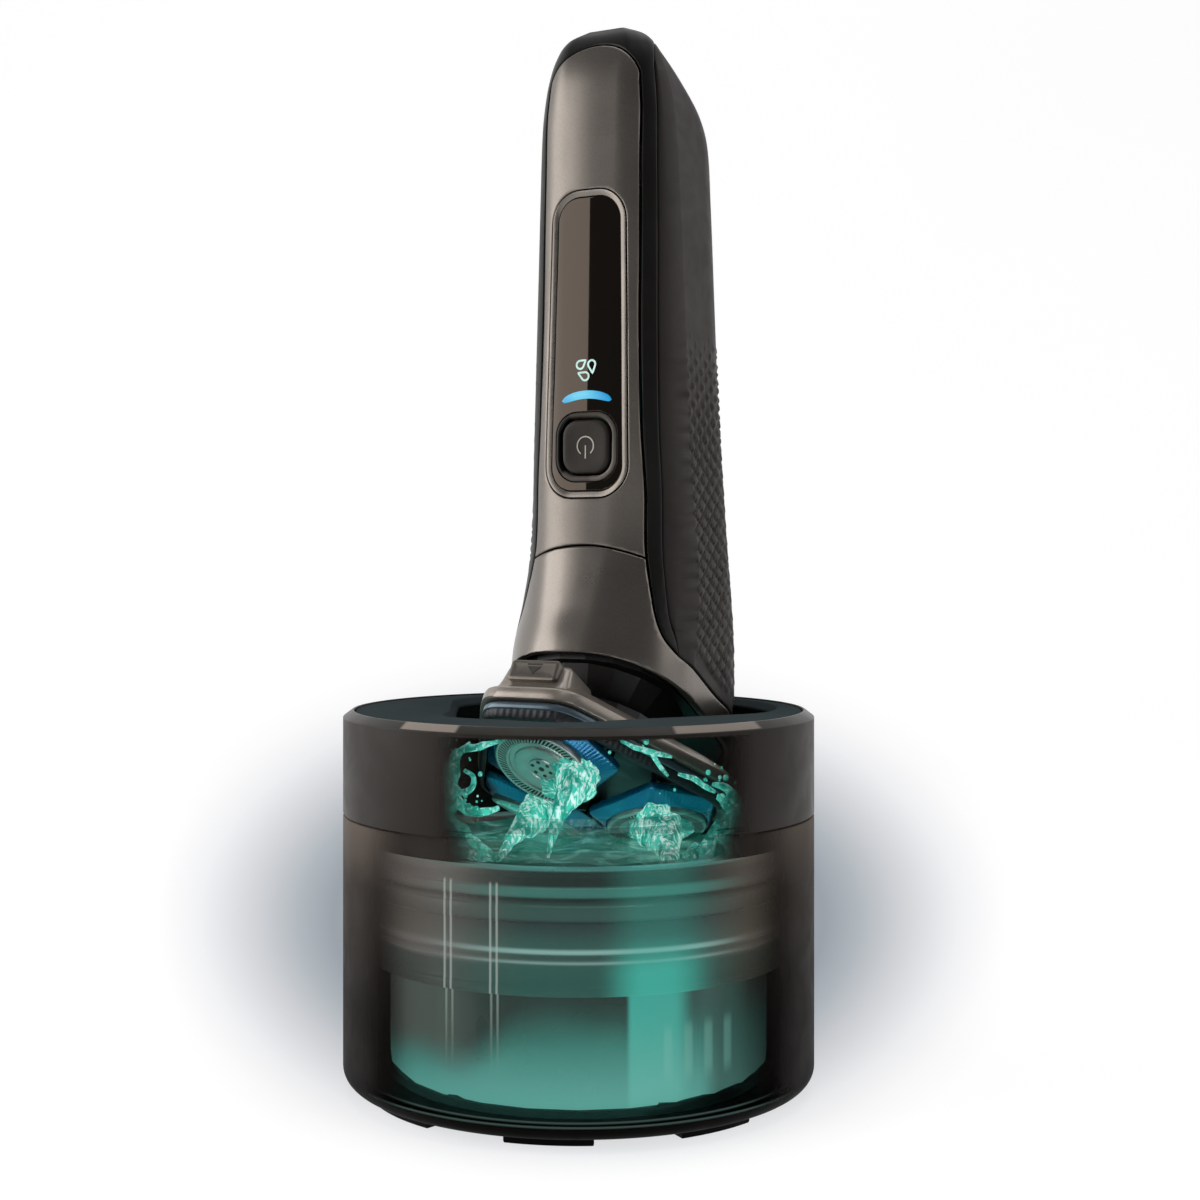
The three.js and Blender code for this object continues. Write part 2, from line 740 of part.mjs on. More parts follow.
function makeGearPlate() {
  const outline = unitOutline(-unitWall - 2 * fitGap);
  let body = prism(outline, plateBottom, plateBottom + plateThickness);
  const armInner = pinReach - 1.5;
  for (const angle of headAngles) {
    for (const side of [-1, 1]) {
      const arm = box(4.2, armThickness, 7.4, 0, side * (armInner + armThickness / 2), tiltAxis + 2.3);
      const groove = box(
        2 * (pinRadius + fitGap), armThickness + 1, 6, 0, side * (armInner + armThickness / 2), tiltAxis - 3,
      );
      const round = moved(
        post(pinRadius + fitGap, -2, 2, 8),
        new THREE.Matrix4()
          .makeTranslation(0, side * (armInner + armThickness / 2), tiltAxis)
          .multiply(new THREE.Matrix4().makeRotationX(Math.PI / 2)),
      );
      const hook = moved(arm.subtract(groove).subtract(round), headMatrix(angle));
      const below = box(200, 200, 40, 0, 0, plateBottom + plateThickness + 20 - 0.2);
      body = body.add(hook.subtract(below));
    }
  }
  for (const angle of headAngles) {
    const at = degrees(angle);
    const hole = shifted(post(2.0, 0, 30, 12), headReach * Math.cos(at), headReach * Math.sin(at), 0);
    body = body.subtract(hole);
  }
  body = body.subtract(post(shaftRadius - 0.4 + fitGap, 0, 30, 12));
  place("gear_plate", body, "nylon", unit);
}

// A spur gear whose teeth are straight-sided wedges with room to turn.
const gearModule = (2 * headReach) / (sunTeeth + planetTeeth);

function gear(teeth, phase, z0, z1) {
  const pitch = (gearModule * teeth) / 2;
  const outline = [];
  for (let i = 0; i < teeth; i += 1) {
    const step = 360 / teeth;
    const middle = phase + i * step;
    for (const [share, radius] of [
      [-0.31, pitch - 1.15 * gearModule],
      [-0.1, pitch + 0.85 * gearModule],
      [0.1, pitch + 0.85 * gearModule],
      [0.31, pitch - 1.15 * gearModule],
    ]) {
      const angle = degrees(middle + share * step);
      outline.push([radius * Math.cos(angle), radius * Math.sin(angle)]);
    }
  }
  return prism(outline, z0, z1);
}

const gearTop = gearBottom + gearThickness;
const spindleTip = tiltAxis * Math.cos(degrees(headLean)) - 1.2;

function makeCentralGear() {
  const disc = gear(sunTeeth, 0, gearBottom, gearTop);
  const collar = post(3.4, gearTop - 0.5, gearTop + 2.2, 18);
  const pivot = post(shaftRadius - 0.4, plateBottom + 0.2, gearBottom + 0.5, 12);
  const bore = post(shaftRadius + fitGap, gearBottom + 0.9, gearTop + 4, 16);
  place("central_gear", disc.add(collar).subtract(bore).add(pivot), "nylon", unit);
}

function makeDriveGears() {
  headAngles.forEach((angle, i) => {
    const sunStep = 360 / sunTeeth;
    const sunPhase = ((((angle / sunStep) % 1) + 1) % 1);
    const phase = angle + 180 - (0.5 - sunPhase) * (360 / planetTeeth);
    const disc = gear(planetTeeth, phase, gearBottom, gearTop);
    const hub = post(2.6, gearBottom - fitGap, gearBottom + 0.4, 12);
    const spindle = post(spindleRadius, spindleTip, gearBottom + 0.4, 6);
    const body = disc.add(hub).add(spindle);
    const at = degrees(angle);
    const mesh = place(`drive_gear_${i + 1}`, body, "nylon", unit);
    mesh.position.set(headReach * Math.cos(at), headReach * Math.sin(at), 0);
  });
}

function headOutline(grow = 0) {
  const near = capRadius + podRim;
  const sides = [[0, near], [64, near + 1.1], [-64, near + 1.1], [143.2, near - 0.4], [-143.2, near - 0.4]];
  return sidedOutline(sides, 22, 24, grow);
}

function makeHeadPod(name, group) {
  const back = podFace + podPlate;
  const plate = loft([
    atHeight(headOutline(-0.9), podFace),
    atHeight(headOutline(0), podFace + 0.8),
    atHeight(headOutline(0), back),
  ]);
  let body = plate.subtract(post(capRadius + fitGap, 0, 20, 30));
  const lugInner = pinReach - 3.1;
  for (const side of [-1, 1]) {
    const [lugFoot, lugTop] = [back - 0.4, tiltAxis + 1.2];
    const lug = box(3.0, 1.3, lugTop - lugFoot, 0, side * (lugInner + 0.65), (lugTop + lugFoot) / 2);
    const pin = moved(
      post(pinRadius, -(pinReach - lugInner - 0.3) / 2, (pinReach - lugInner - 0.3) / 2, 8),
      new THREE.Matrix4()
        .makeTranslation(0, (side * (pinReach + lugInner + 0.3)) / 2, tiltAxis)
        .multiply(new THREE.Matrix4().makeRotationX(Math.PI / 2)),
    );
    const clear = post(capRadius + fitGap, back - 4, back + 0.2, 30);
    body = body.add(lug.subtract(clear)).add(pin);
  }
  place(name, body, "blue", group);
}

function makeCap(name, group) {
  const body = revolve(
    [
      [0, 0.3],
      [trackInner - 0.4, 0.6],
      [trackInner, 0],
      [capRadius - 0.4, 0],
      [capRadius, 0.4],
      [capRadius, capDepth],
      [capRadius - capWall, capDepth],
      [capRadius - capWall, capFloor],
      [0, capFloor],
    ],
    slotCount,
  );
  let slots = null;
  const slotInner = trackInner + 0.25;
  const slotOuter = capRadius - capWall - 0.1;
  for (let i = 0; i < slotCount; i += 1) {
    const angle = (i / slotCount) * 2 * Math.PI;
    const middle = (slotInner + slotOuter) / 2;
    const matrix = new THREE.Matrix4()
      .makeRotationZ(angle)
      .multiply(new THREE.Matrix4().makeTranslation(middle, 0, 0))
      .multiply(new THREE.Matrix4().makeRotationZ(degrees(slotSkew)));
    const slot = solid(new THREE.BoxGeometry(slotOuter - slotInner, slotWidth, 6), matrix);
    slots = slots ? slots.add(slot) : slot;
  }
  place(name, body.subtract(slots), "silver", group);
}

function makeCutter(name, group) {
  const bladeTop = capFloor + fitGap;
  const discTop = bladeTop + 0.9;
  let body = post(cutterRadius, discTop, discTop + 0.8, 18).subtract(post(5.6, 0, 10, 12));
  body = body.add(post(hubRadius, discTop, tiltAxis + 1.0, 12));
  for (let i = 0; i < cutterBlades; i += 1) {
    const turn = new THREE.Matrix4().makeRotationZ((i / cutterBlades) * 2 * Math.PI);
    const root = discTop + 0.4;
    const blade = box(1.5, 0.5, root - bladeTop, cutterRadius - 0.85, 0, (bladeTop + root) / 2);
    body = body.add(moved(blade, turn));
    if (i % 3 === 0) body = body.add(moved(box(4.6, 1.6, 0.8, 4.2, 0, discTop + 0.4), turn));
  }
  const bore = post(socketRadius, tiltAxis - 2.1, tiltAxis + 4, 12);
  place(name, body.subtract(bore), "steel", group);
}

function makeHeads() {
  headAngles.forEach((angle, i) => {
    const group = headGroup(angle);
    makeHeadPod(`head_pod_${i + 1}`, group);
    makeCap(`shaving_cap_${i + 1}`, group);
    makeCutter(`cutter_${i + 1}`, group);
  });
}

// ---- handle ----

const fieldNames = ["front", "back", "half", "cornerFront", "cornerBack"];

// The handle's sizes at a height: a smooth curve through the stations.
function stationAt(z) {
  let i = stations.findIndex((station) => station.z > z) - 1;
  if (z >= stations.at(-1).z) i = stations.length - 2;
  i = Math.max(i, 0);
  const a = stations[i];
  const b = stations[i + 1];
  const before = stations[Math.max(i - 1, 0)];
  const after = stations[Math.min(i + 2, stations.length - 1)];
  const t = (z - a.z) / (b.z - a.z);
  const result = { z };
  for (const name of fieldNames) {
    const slopeA = i > 0 ? (b[name] - before[name]) / (b.z - before.z) : (b[name] - a[name]) / (b.z - a.z);
    const slopeB =
      i + 2 < stations.length ? (after[name] - a[name]) / (after.z - a.z) : (b[name] - a[name]) / (b.z - a.z);
    const length = b.z - a.z;
    result[name] =
      a[name] * (2 * t ** 3 - 3 * t ** 2 + 1) +
      slopeA * length * (t ** 3 - 2 * t ** 2 + t) +
      b[name] * (-2 * t ** 3 + 3 * t ** 2) +
      slopeB * length * (t ** 3 - t ** 2);
  }
  return result;
}

// Where the handle's front skin lies beside its middle.
function frontSkin(x, z) {
  const s = stationAt(z);
  const past = Math.max(Math.abs(x) - (s.half - s.cornerFront), 0);
  return s.front + s.cornerFront - Math.sqrt(s.cornerFront ** 2 - past ** 2);
}

// One section of the handle, pulled in by inset: four sides with round corners.
function handleSection(z, inset, perCorner) {
  const s = stationAt(z);
  const half = s.half - inset;
  const front = s.front + inset;
  const back = s.back - inset;
  const room = Math.min(half, (back - front) / 2) - 0.05;
  const cornerFront = Math.min(Math.max(s.cornerFront - inset, 0.5), room);
  const cornerBack = Math.min(Math.max(s.cornerBack - inset, 0.5), room);
  const ring = [];
  const corners = [
    [half - cornerBack, back - cornerBack, cornerBack, 0],
    [-half + cornerBack, back - cornerBack, cornerBack, 90],
    [-half + cornerFront, front + cornerFront, cornerFront, 180],
    [half - cornerFront, front + cornerFront, cornerFront, 270],
  ];
  for (const [x, y, radius, start] of corners) {
    for (let i = 0; i <= perCorner; i += 1) {
      const angle = degrees(start + (90 * i) / perCorner);
      ring.push([x + radius * Math.cos(angle), y + radius * Math.sin(angle), z]);
    }
  }
  return ring;
}

const dome = handleFoot + handleLength - 20.3; // above this the handle's end rounds over

function handleLevels(bottom, top, step) {
  const levels = [];
  const lower = Math.max(1, Math.round((Math.min(dome, top) - bottom) / step));
  for (let i = 0; i < lower; i += 1) levels.push(bottom + ((Math.min(dome, top) - bottom) * i) / lower);
  if (top <= dome) return [...levels, top];
  for (let i = 0; i <= 6; i += 1) levels.push(dome + (top - dome) * Math.sin(((i / 6) * Math.PI) / 2));
  return levels;
}

// The handle's whole body pulled in by inset.
function handleBody(inset) {
  const perCorner = 4;
  const step = 24;
  const top = stations.at(-1).z - inset * 1.15;
  const rings = handleLevels(stations[0].z, top, step).map((z) => handleSection(z, inset, perCorner));
  return loft(rings);
}

// A solid across the whole width whose side view is the outline of [y, z] points.
function sideCut(outline) {
  const matrix = new THREE.Matrix4().set(0, 0, 1, -60, 1, 0, 0, 0, 0, 1, 0, 0, 0, 0, 0, 1);
  return moved(prism(outline, 0, 120), matrix);
}

// A solid through the front whose front view is the outline of [x, z] points.
function frontCut(outline, y0, y1) {
  const matrix = new THREE.Matrix4().set(1, 0, 0, 0, 0, 0, -1, 0, 0, 1, 0, 0, 0, 0, 0, 1);
  return moved(prism(outline, -y1, -y0), matrix);
}

// How far the panel's edge lies behind the front line at a height.
function panelEdge(z) {
  const flare = Math.min(Math.max((160 - z) / (160 - seamTop + seamDrop), 0), 1);
  return stationAt(z).front + panelDepth + panelFlare * flare ** 2;
}

const flareFoot = seamTop - seamDrop;
const beyond = stations.at(-1).z + 20; // clear of the handle's end
const beneath = handleFoot - 36; // clear of its foot
const endFlat = handleFoot + handleLength - 12.3; // above this the edges curve over the handle's end

// The lines in side view, as [y, z] points from the bottom up, along which the handle's shells part.
function panelLine() {
  const line = [];
  for (let i = 0; i <= 8; i += 1) {
    const z = flareFoot + ((endFlat - flareFoot) * i) / 8;
    line.push([panelEdge(z), z]);
  }
  const flat = panelEdge(endFlat);
  const over = [[1.5, 4.8], [1.9, 7.2], [0.9, 8.8]]; // behind the flat line, above the flat's end
  line.push(...over.map(([y, z]) => [flat + y, endFlat + z]), [-40, endFlat + 10]);
  return line;
}

function gripLine() {
  const foot = rimHeight(6.9) + 8.1;
  const shares = [[6.9, 0], [6.2, 0.31], [6.5, 0.6]];
  const line = shares.map(([y, share]) => [y, foot + (flareFoot - foot) * share]);
  for (let i = 0; i <= 8; i += 1) {
    const z = flareFoot + ((endFlat - flareFoot) * i) / 8;
    line.push([panelEdge(z) + bandWidth, z]);
  }
  const flat = panelEdge(endFlat) + bandWidth;
  const over = [[1.0, 4.6], [3.2, 8.0], [8.0, 10.9], [16.0, 14.6]];
  line.push(...over.map(([y, z]) => [flat + y, endFlat + z]));
  return line;
}

// Where the handle's lower rim lies in side view.
function rimHeight(y) {
  const start = unitCentre.z + rimLevel / Math.cos(degrees(unitTilt));
  return start - Math.tan(degrees(unitTilt)) * (y - unitCentre.y);
}

// Upper edge of the neck cover, from the back along the rim and up to the panel's seam.
function neckLine() {
  const along = [40, 28, 21, 12.2].map((y) => [y, rimHeight(y) + 7.0 + Math.max(y - 21, 0) * 0.1]);
  const foot = rimHeight(7.8) + 6.7;
  const shares = [[7.8, 0], [6.1, 0.07], [4.2, 0.2], [3.6, 0.37], [3.9, 0.64], [panelEdge(flareFoot), 1]];
  const bend = shares.map(([y, share]) => [y, foot + (flareFoot - foot) * share]);
  return [[60, rimHeight(60) + 10.9], ...along, ...bend];
}

// The panel's rounded top in front view, with all that lies below it.
function belowTop(grow) {
  const foot = endFlat - 1;
  const outline = [[-30, beneath], [30, beneath], [30, foot], [panelTopHalf + grow, foot]];
  for (let i = 1; i < 12; i += 1) {
    const angle = (i / 12) * Math.PI;
    const rise = (panelTopRise + grow) * Math.sin(angle);
    outline.push([(panelTopHalf + grow) * Math.cos(angle), foot + rise]);
  }
  return [...outline, [-panelTopHalf - grow, foot], [-30, foot]];
}

// A line shifted to its left by a distance.
function beside(line, distance) {
  return line.map(([y, z], i) => {
    const [y0, z0] = line[Math.max(i - 1, 0)];
    const [y1, z1] = line[Math.min(i + 1, line.length - 1)];
    const length = Math.hypot(y1 - y0, z1 - z0);
    return [y - ((z1 - z0) / length) * distance, z + ((y1 - y0) / length) * distance];
  });
}

const bodyOuter = handleBody(0);
const bodyInner = handleBody(shellWall);
const aboveRim = unitSlab(rimLevel, rimLevel + 400);
const shellSolid = bodyOuter.subtract(bodyInner).intersect(aboveRim);

// The seam between panel and neck: an arch in front view.
function seamArch(offset) {
  const line = [];
  for (let i = 0; i <= 8; i += 1) {
    const x = -24 + 6 * i;
    line.push([x, seamTop - seamDrop * (x / 15) ** 2 + offset]);
  }
  return line;
}

function displayOutline(grow) {
  const corner = 5.2 + grow;
  const points = [];
  const arcs = [
    [displayHalfTop + grow, displayTop + grow, 0],
    [-displayHalfTop - grow, displayTop + grow, 90],
    [-displayHalfBottom - grow, displayBottom - grow, 180],
    [displayHalfBottom + grow, displayBottom - grow, 270],
  ];
  for (const [x, z, start] of arcs) {
    const cx = x - Math.sign(x) * corner;
    const cz = z + (start < 180 ? -corner : corner);
    for (let i = 0; i <= 4; i += 1) {
      const angle = degrees(start + 22.5 * i);
      points.push([cx + corner * Math.cos(angle), cz + corner * Math.sin(angle)]);
    }
  }
  return points;
}

// The middle of the front wall, which belongs to the panel and the neck to its full depth.
function frontCore(grow) {
  const [foot, head] = [flareFoot - 15, endFlat - 1];
  const [wide, narrow] = [displayHalfBottom + 2.4 + grow, displayHalfTop + 2.2 + grow];
  return frontCut([[-wide, foot], [wide, foot], [narrow, head], [-narrow, head]], -40, 9);
}

function makeFrontPanel() {
  const line = beside(panelLine(), fitGap / 2);
  const foot = line[0][1] - 15;
  const region = sideCut([[-40, foot], [line[0][0], foot], ...line]).add(frontCore(0));
  const above = frontCut([...seamArch(fitGap / 2), [30, beyond], [-30, beyond]], -40, 30);
  const window = frontCut(displayOutline(surroundWidth + fitGap), -40, 12);
  const top = frontCut(belowTop(0), -40, 60);
  const body = shellSolid.intersect(region).intersect(above).intersect(top);
  place("front_panel", body.subtract(window), "bronze");
}

function makeSideBand() {
  const front = [...beside(neckLine(), -fitGap / 2).slice(-5), ...beside(panelLine(), -fitGap / 2).slice(1)];
  const back = beside(gripLine(), fitGap / 2).reverse();
  const strip = sideCut([...front, [-40, beyond], [back[0][0], beyond], ...back]);
  const high = back.filter(([, z]) => z > endFlat - 5);
  const head = sideCut([[-40, endFlat - 5], [-40, beyond], [back[0][0], beyond], ...high]);
  const crest = head.subtract(frontCut(belowTop(fitGap), -40, 60));
  const window = frontCore(fitGap);
  place("side_band", shellSolid.intersect(strip.add(crest)).subtract(window), "black");
}

function makeBackGrip() {
  const front = beside(gripLine(), -fitGap / 2);
  const neck = beside(neckLine(), -fitGap / 2).slice(0, -5);
  const region = sideCut([...neck, ...front, [front.at(-1)[0], beyond], [80, beyond]]);
  const hole = moved(post(5.3, -6, 8, 18), socketMatrix());
  place("back_grip", shellSolid.intersect(region).subtract(hole), "rubber");
}

function makeNeckCover() {
  const below = frontCut([...seamArch(-fitGap / 2), [30, beneath], [-30, beneath]], -40, 90);
  const line = beside(neckLine(), fitGap / 2);
  const top = line.at(-1);
  const region = sideCut([[60, beneath], ...line, [top[0], top[1] + 15], [-40, top[1] + 15], [-40, beneath]]);
  place("neck_cover", shellSolid.intersect(region.add(frontCore(0))).intersect(below), "bronze");
}

function makeNeckBase() {
  const inside = handleBody(shellWall + fitGap);
  const plate = inside.intersect(unitSlab(rimLevel + 0.2, rimLevel + 0.2 + neckPlate));
  const cone = [];
  const narrow = neckHole - 1.9;
  const steps = [[bezelCrown - 3.0, narrow], [bezelCrown + 1.4, narrow + 0.3], [rimLevel + 0.8, narrow + 6]];
  for (const [level, radius] of steps) {
    const ring = [];
    for (let i = 0; i < 18; i += 1) {
      const angle = (i / 18) * 2 * Math.PI;
      ring.push([radius * Math.cos(angle), radius * Math.sin(angle), level]);
    }
    cone.push(ring);
  }
  const bore = moved(post(shaftBore, 0, 60, 16), unitToPart);
  const recess = moved(post(4.4, bezelCrown - 8, bezelCrown, 14), unitToPart);
  const collar = moved(post(neckCollar, bezelCrown + fitGap, bezelCrown + fitGap + 1.6, 18), unitToPart);
  const shell = aboveRim.subtract(inside); // the handle's own wall and all outside it
  const throat = moved(loft(cone), unitToPart).subtract(shell);
  const body = plate.add(throat).add(collar).subtract(bore).subtract(recess);
  place("neck_base", body, "black");
}

function curvedPlate(outline, outerInset, innerInset) {
  const plate = handleBody(outerInset).subtract(handleBody(innerInset));
  return plate.intersect(frontCut(outline, -40, 14));
}

function makeDisplaySurround() {
  const ring = curvedPlate(displayOutline(surroundWidth), 0, shellWall);
  const inner = frontCut(displayOutline(0), -40, 20);
  // Growth of the outline and depth under the skin
  const bevelSteps = [[-0.5, 1.0], [surroundWidth + 0.5, -0.8], [surroundWidth + 0.6, -4.0]];
  const rings = bevelSteps.map(([grow, depth]) =>
    displayOutline(grow).map(([x, z]) => [x, frontSkin(x, z) + depth, z]),
  );
  const bevel = loft(rings);
  place("display_surround", ring.subtract(inner).subtract(bevel), "silver");
}

function roundedSquare(size, corner, x, z) {
  const points = [];
  for (const start of [0, 90, 180, 270]) {
    const angle = degrees(start + 45);
    const cx = Math.sign(Math.cos(angle)) * (size / 2 - corner);
    const cz = Math.sign(Math.sin(angle)) * (size / 2 - corner);
    for (let i = 0; i <= 3; i += 1) {
      const turn = degrees(start + 30 * i);
      points.push([x + cx + corner * Math.cos(turn), z + cz + corner * Math.sin(turn)]);
    }
  }
  return points;
}

function arcOutline(grow) {
  const edge = (side) => (t) => {
    const middle = arcHeight + arcRise * (0.5 - t * t);
    const half = grow + (arcThickness / 2) * Math.sqrt(1 - t ** 6);
    return [t * (arcHalfWidth + grow), middle + side * half];
  };
  const shares = [-1, -0.75, -0.5, -0.25, 0, 0.25, 0.5, 0.75, 1];
  return [...shares.map(edge(-1)), ...shares.slice(1, -1).reverse().map(edge(1))];
}

function makeDisplay() {
  const frameSize = buttonSize + 2 * (slideGap + buttonFrame);
  const holeCorner = buttonCorner + buttonFrame + fitGap;
  const frameHole = roundedSquare(frameSize + 2 * fitGap, holeCorner, 0, buttonHeight);
  let glass = curvedPlate(displayOutline(-fitGap), glassRecess, glassRecess + glassThickness);
  glass = glass.subtract(frontCut(frameHole, -40, 20)).subtract(frontCut(arcOutline(0.25), -40, 20));
  place("display_glass", glass, "black");
  place("light_arc", curvedPlate(arcOutline(0), glassRecess, glassRecess + glassThickness), "light");
  const frameOutline = roundedSquare(frameSize, buttonCorner + buttonFrame, 0, buttonHeight);
  const hole = roundedSquare(buttonSize + 2 * slideGap, buttonCorner + slideGap, 0, buttonHeight);
  const bezel = curvedPlate(frameOutline, glassRecess - 0.2, glassRecess + glassThickness);
  place("button_frame", bezel.subtract(frontCut(hole, -40, 20)), "black");
}

function makePowerButton() {
  const front = stationAt(buttonHeight).front + 0.1;
  const rings = [
    [buttonSize, front + 3.4],
    [buttonSize, front + 0.7],
    [buttonSize - 0.7, front + 0.2],
    [buttonSize - 2.6, front],
  ].map(([size, y]) => {
    const corner = Math.min(buttonCorner, size / 2 - 0.5);
    return roundedSquare(size, corner, 0, buttonHeight).map(([x, z]) => [x, y, z]);
  });
  const stemEnd = boardFront - 1.6 - buttonTravel - fitGap;
  const stem = frontCut(roundedSquare(3.0, 1.0, 0, buttonHeight), front + 3.0, stemEnd);
  place("power_button", loft(rings).add(stem), "black");
}

function makeElectronics() {
  const boardMiddle = (displayBottom + displayTop) / 2;
  const boardHeight = displayTop - displayBottom + 4;
  place(
    "circuit_board",
    box(boardWidth, boardThickness, boardHeight, 0, boardFront + boardThickness / 2, boardMiddle),
    "board",
  );
  place(
    "button_switch",
    box(6.0, 1.3, 6.0, 0, boardFront - fitGap - 0.65, buttonHeight),
    "silver",
  );
  const cell = post(batteryRadius, batteryBottom, batteryBottom + batteryLength, 22);
  const cap = post(2.6, batteryBottom + batteryLength - 0.5, batteryBottom + batteryLength + 1.2, 12);
  place("battery", shifted(cell.add(cap), 0, batteryPlace, 0), "cell");
}

function makeInnerFrame() {
  const inside = handleBody(shellWall + fitGap);
  const bottom = displayBottom - 8;
  const top = displayTop + 12;
  const plate = inside.intersect(
    box(60, frameThickness, top - bottom, 0, frameFront + frameThickness / 2, (top + bottom) / 2),
  );
  let body = plate;
  const boardBack = boardFront + boardThickness;
  for (const z of [displayBottom + 3, displayTop - 3]) {
    for (const x of [-boardWidth / 2 + 2.5, boardWidth / 2 - 2.5]) {
      const [near, far] = [boardBack + fitGap, frameFront + 0.3];
      body = body.add(box(2.4, far - near, 2.4, x, (near + far) / 2, z));
    }
  }
  const cell = post(batteryRadius + fitGap, batteryBottom - 2, batteryBottom + batteryLength + 4, 22);
  const cradle = shifted(cell, 0, batteryPlace, 0);
  for (const z of [batteryBottom + 7, batteryBottom + batteryLength / 2, batteryBottom + batteryLength - 7]) {
    const depth = batteryPlace - frameFront - frameThickness + 0.4;
    const rib = box(2 * batteryRadius + 4, depth, 2.2, 0, frameFront + frameThickness - 0.4 + depth / 2, z);
    body = body.add(rib.subtract(cradle));
  }
  const shelf = batteryBottom - fitGap;
  body = body.add(
    box(2 * batteryRadius, 12, 1.6, 0, frameFront + frameThickness - 0.4 + 6, shelf - 0.8),
  );
  place("inner_frame", body, "nylon");
}

const motorBottom = rimLevel + 0.2 + neckPlate + fitGap;

function makeMotor() {
  const can = post(motorRadius, motorBottom, motorBottom + motorLength, 22);
  const hollow = post(motorRadius - motorWall, motorBottom + 1.4, motorBottom + motorLength - 1.4, 18);
  const bore = post(shaftBore, motorBottom - 1, motorBottom + 4, 16);
  const vent = box(3.0, 40, 7, 0, 0, motorBottom + motorLength / 2);
  place("motor_can", can.subtract(hollow).subtract(bore).subtract(vent), "steel", unit);
  const rotorTop = motorBottom + motorLength - 1.4 - fitGap;
  const rotor = post(motorRadius - motorWall - 0.6, motorBottom + 2.4, rotorTop, 20);
  const shaft = post(shaftRadius, gearTop - 0.6, motorBottom + 3, 14);
  place("motor_rotor", rotor.add(shaft), "steel", unit);
}

function socketMatrix() {
  return new THREE.Matrix4()
    .makeTranslation(0, socketPlace.y, socketPlace.z)
    .multiply(new THREE.Matrix4().makeRotationX(degrees(-socketLean)));
}

function makeChargingSocket() {
  const body = post(5.0, -5.4, -0.2, 18);
  const recess = box(7.0, 3.8, 8.0, 0, 0, 0.4);
  const pins = [-1.7, 1.7].map((x) => shifted(post(0.6, -3.8, -0.8, 10), x, 0, 0));
  const whole = pins.reduce((sum, pin) => sum.add(pin), body.subtract(recess));
  place("charging_socket", moved(whole, socketMatrix()), "black");
}

makeBaseHousing();
makeUpperHousing();
makeTopPlate();
makeCleaningBowl();
makeBowlSeal();
makeCartridgeCup();
makeCartridgeLid();
makeStandpipe();
makeFilter();
makeFluid();
makeBezel();
makeReleaseButton();
makeHairChamber();
makeGearPlate();
makeCentralGear();
makeDriveGears();
makeHeads();
makeFrontPanel();
makeSideBand();
makeBackGrip();
makeNeckCover();
makeNeckBase();
makeDisplaySurround();
makeDisplay();
makePowerButton();
makeElectronics();
makeInnerFrame();
makeMotor();
makeChargingSocket();

export default root;
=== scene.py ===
import bpy
import bmesh
import math
import random
import numpy as np
from mathutils import Matrix, Vector, noise


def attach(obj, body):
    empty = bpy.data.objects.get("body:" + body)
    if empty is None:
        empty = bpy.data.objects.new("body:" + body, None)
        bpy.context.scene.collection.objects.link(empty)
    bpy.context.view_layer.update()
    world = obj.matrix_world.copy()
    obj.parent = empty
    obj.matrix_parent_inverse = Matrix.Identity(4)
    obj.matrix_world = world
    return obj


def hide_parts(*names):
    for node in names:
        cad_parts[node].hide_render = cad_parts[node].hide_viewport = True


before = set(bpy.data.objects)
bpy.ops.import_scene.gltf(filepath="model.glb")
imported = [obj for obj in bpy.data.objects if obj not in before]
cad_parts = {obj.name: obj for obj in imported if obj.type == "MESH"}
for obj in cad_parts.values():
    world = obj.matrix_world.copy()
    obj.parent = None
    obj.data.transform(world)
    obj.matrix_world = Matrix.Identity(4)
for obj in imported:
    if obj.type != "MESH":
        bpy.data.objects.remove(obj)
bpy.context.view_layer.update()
print("frame loaded:", len(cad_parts), "nodes")

mm = 0.001
rad = math.radians
# how far x and y run across the front view, which looks along the camera's azimuth
acrossX, acrossY = 0.866, 0.5

# camera

cameraSetup = {"place": (195.0, -337.75, 107.6), "azimuth": 30.0, "lens": 57.6, "shiftX": 0.0178,
               "shiftY": -0.04}


def makeCamera(c):
    data = bpy.data.cameras.new("camera")
    cam = bpy.data.objects.new("camera", data)
    bpy.context.scene.collection.objects.link(cam)
    turn = rad(c["azimuth"])
    cam.location = Vector(c["place"]) * mm
    cam.rotation_euler = Vector((-math.sin(turn), math.cos(turn), 0)).to_track_quat("-Z", "Y").to_euler()
    data.lens, data.sensor_width = c["lens"], 36.0
    data.shift_x, data.shift_y = c["shiftX"], c["shiftY"]
    data.clip_start, data.clip_end = 0.01, 20.0
    bpy.context.scene.camera = cam


makeCamera(cameraSetup)
bpy.context.scene.view_settings.view_transform = "Standard"

# mesh helpers, all in millimetres; a part is a pair of points and faces


def piece(name, part, looks, body, slot, stand=None, sharp=40, faceLooks=None):
    # makes the object, rides it on its body and lets it stand for a node
    mesh = bpy.data.meshes.new(name)
    points, faces = part
    mesh.from_pydata([tuple(float(c) * mm for c in p) for p in points], [], [tuple(f) for f in faces])
    mesh.validate()
    for look in looks if isinstance(looks, list) else [looks]:
        mesh.materials.append(look)
    if faceLooks:
        mesh.polygons.foreach_set("material_index", faceLooks)
    bm = bmesh.new()
    bm.from_mesh(mesh)
    bmesh.ops.recalc_face_normals(bm, faces=bm.faces)
    for f in bm.faces:
        f.smooth = True
    for e in bm.edges:
        if len(e.link_faces) != 2 or e.calc_face_angle(0.0) > rad(sharp):
            e.smooth = False
    bm.to_mesh(mesh)
    bm.free()
    obj = bpy.data.objects.new(name, mesh)
    bpy.context.scene.collection.objects.link(obj)
    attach(obj, body)
    if stand:
        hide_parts(stand)


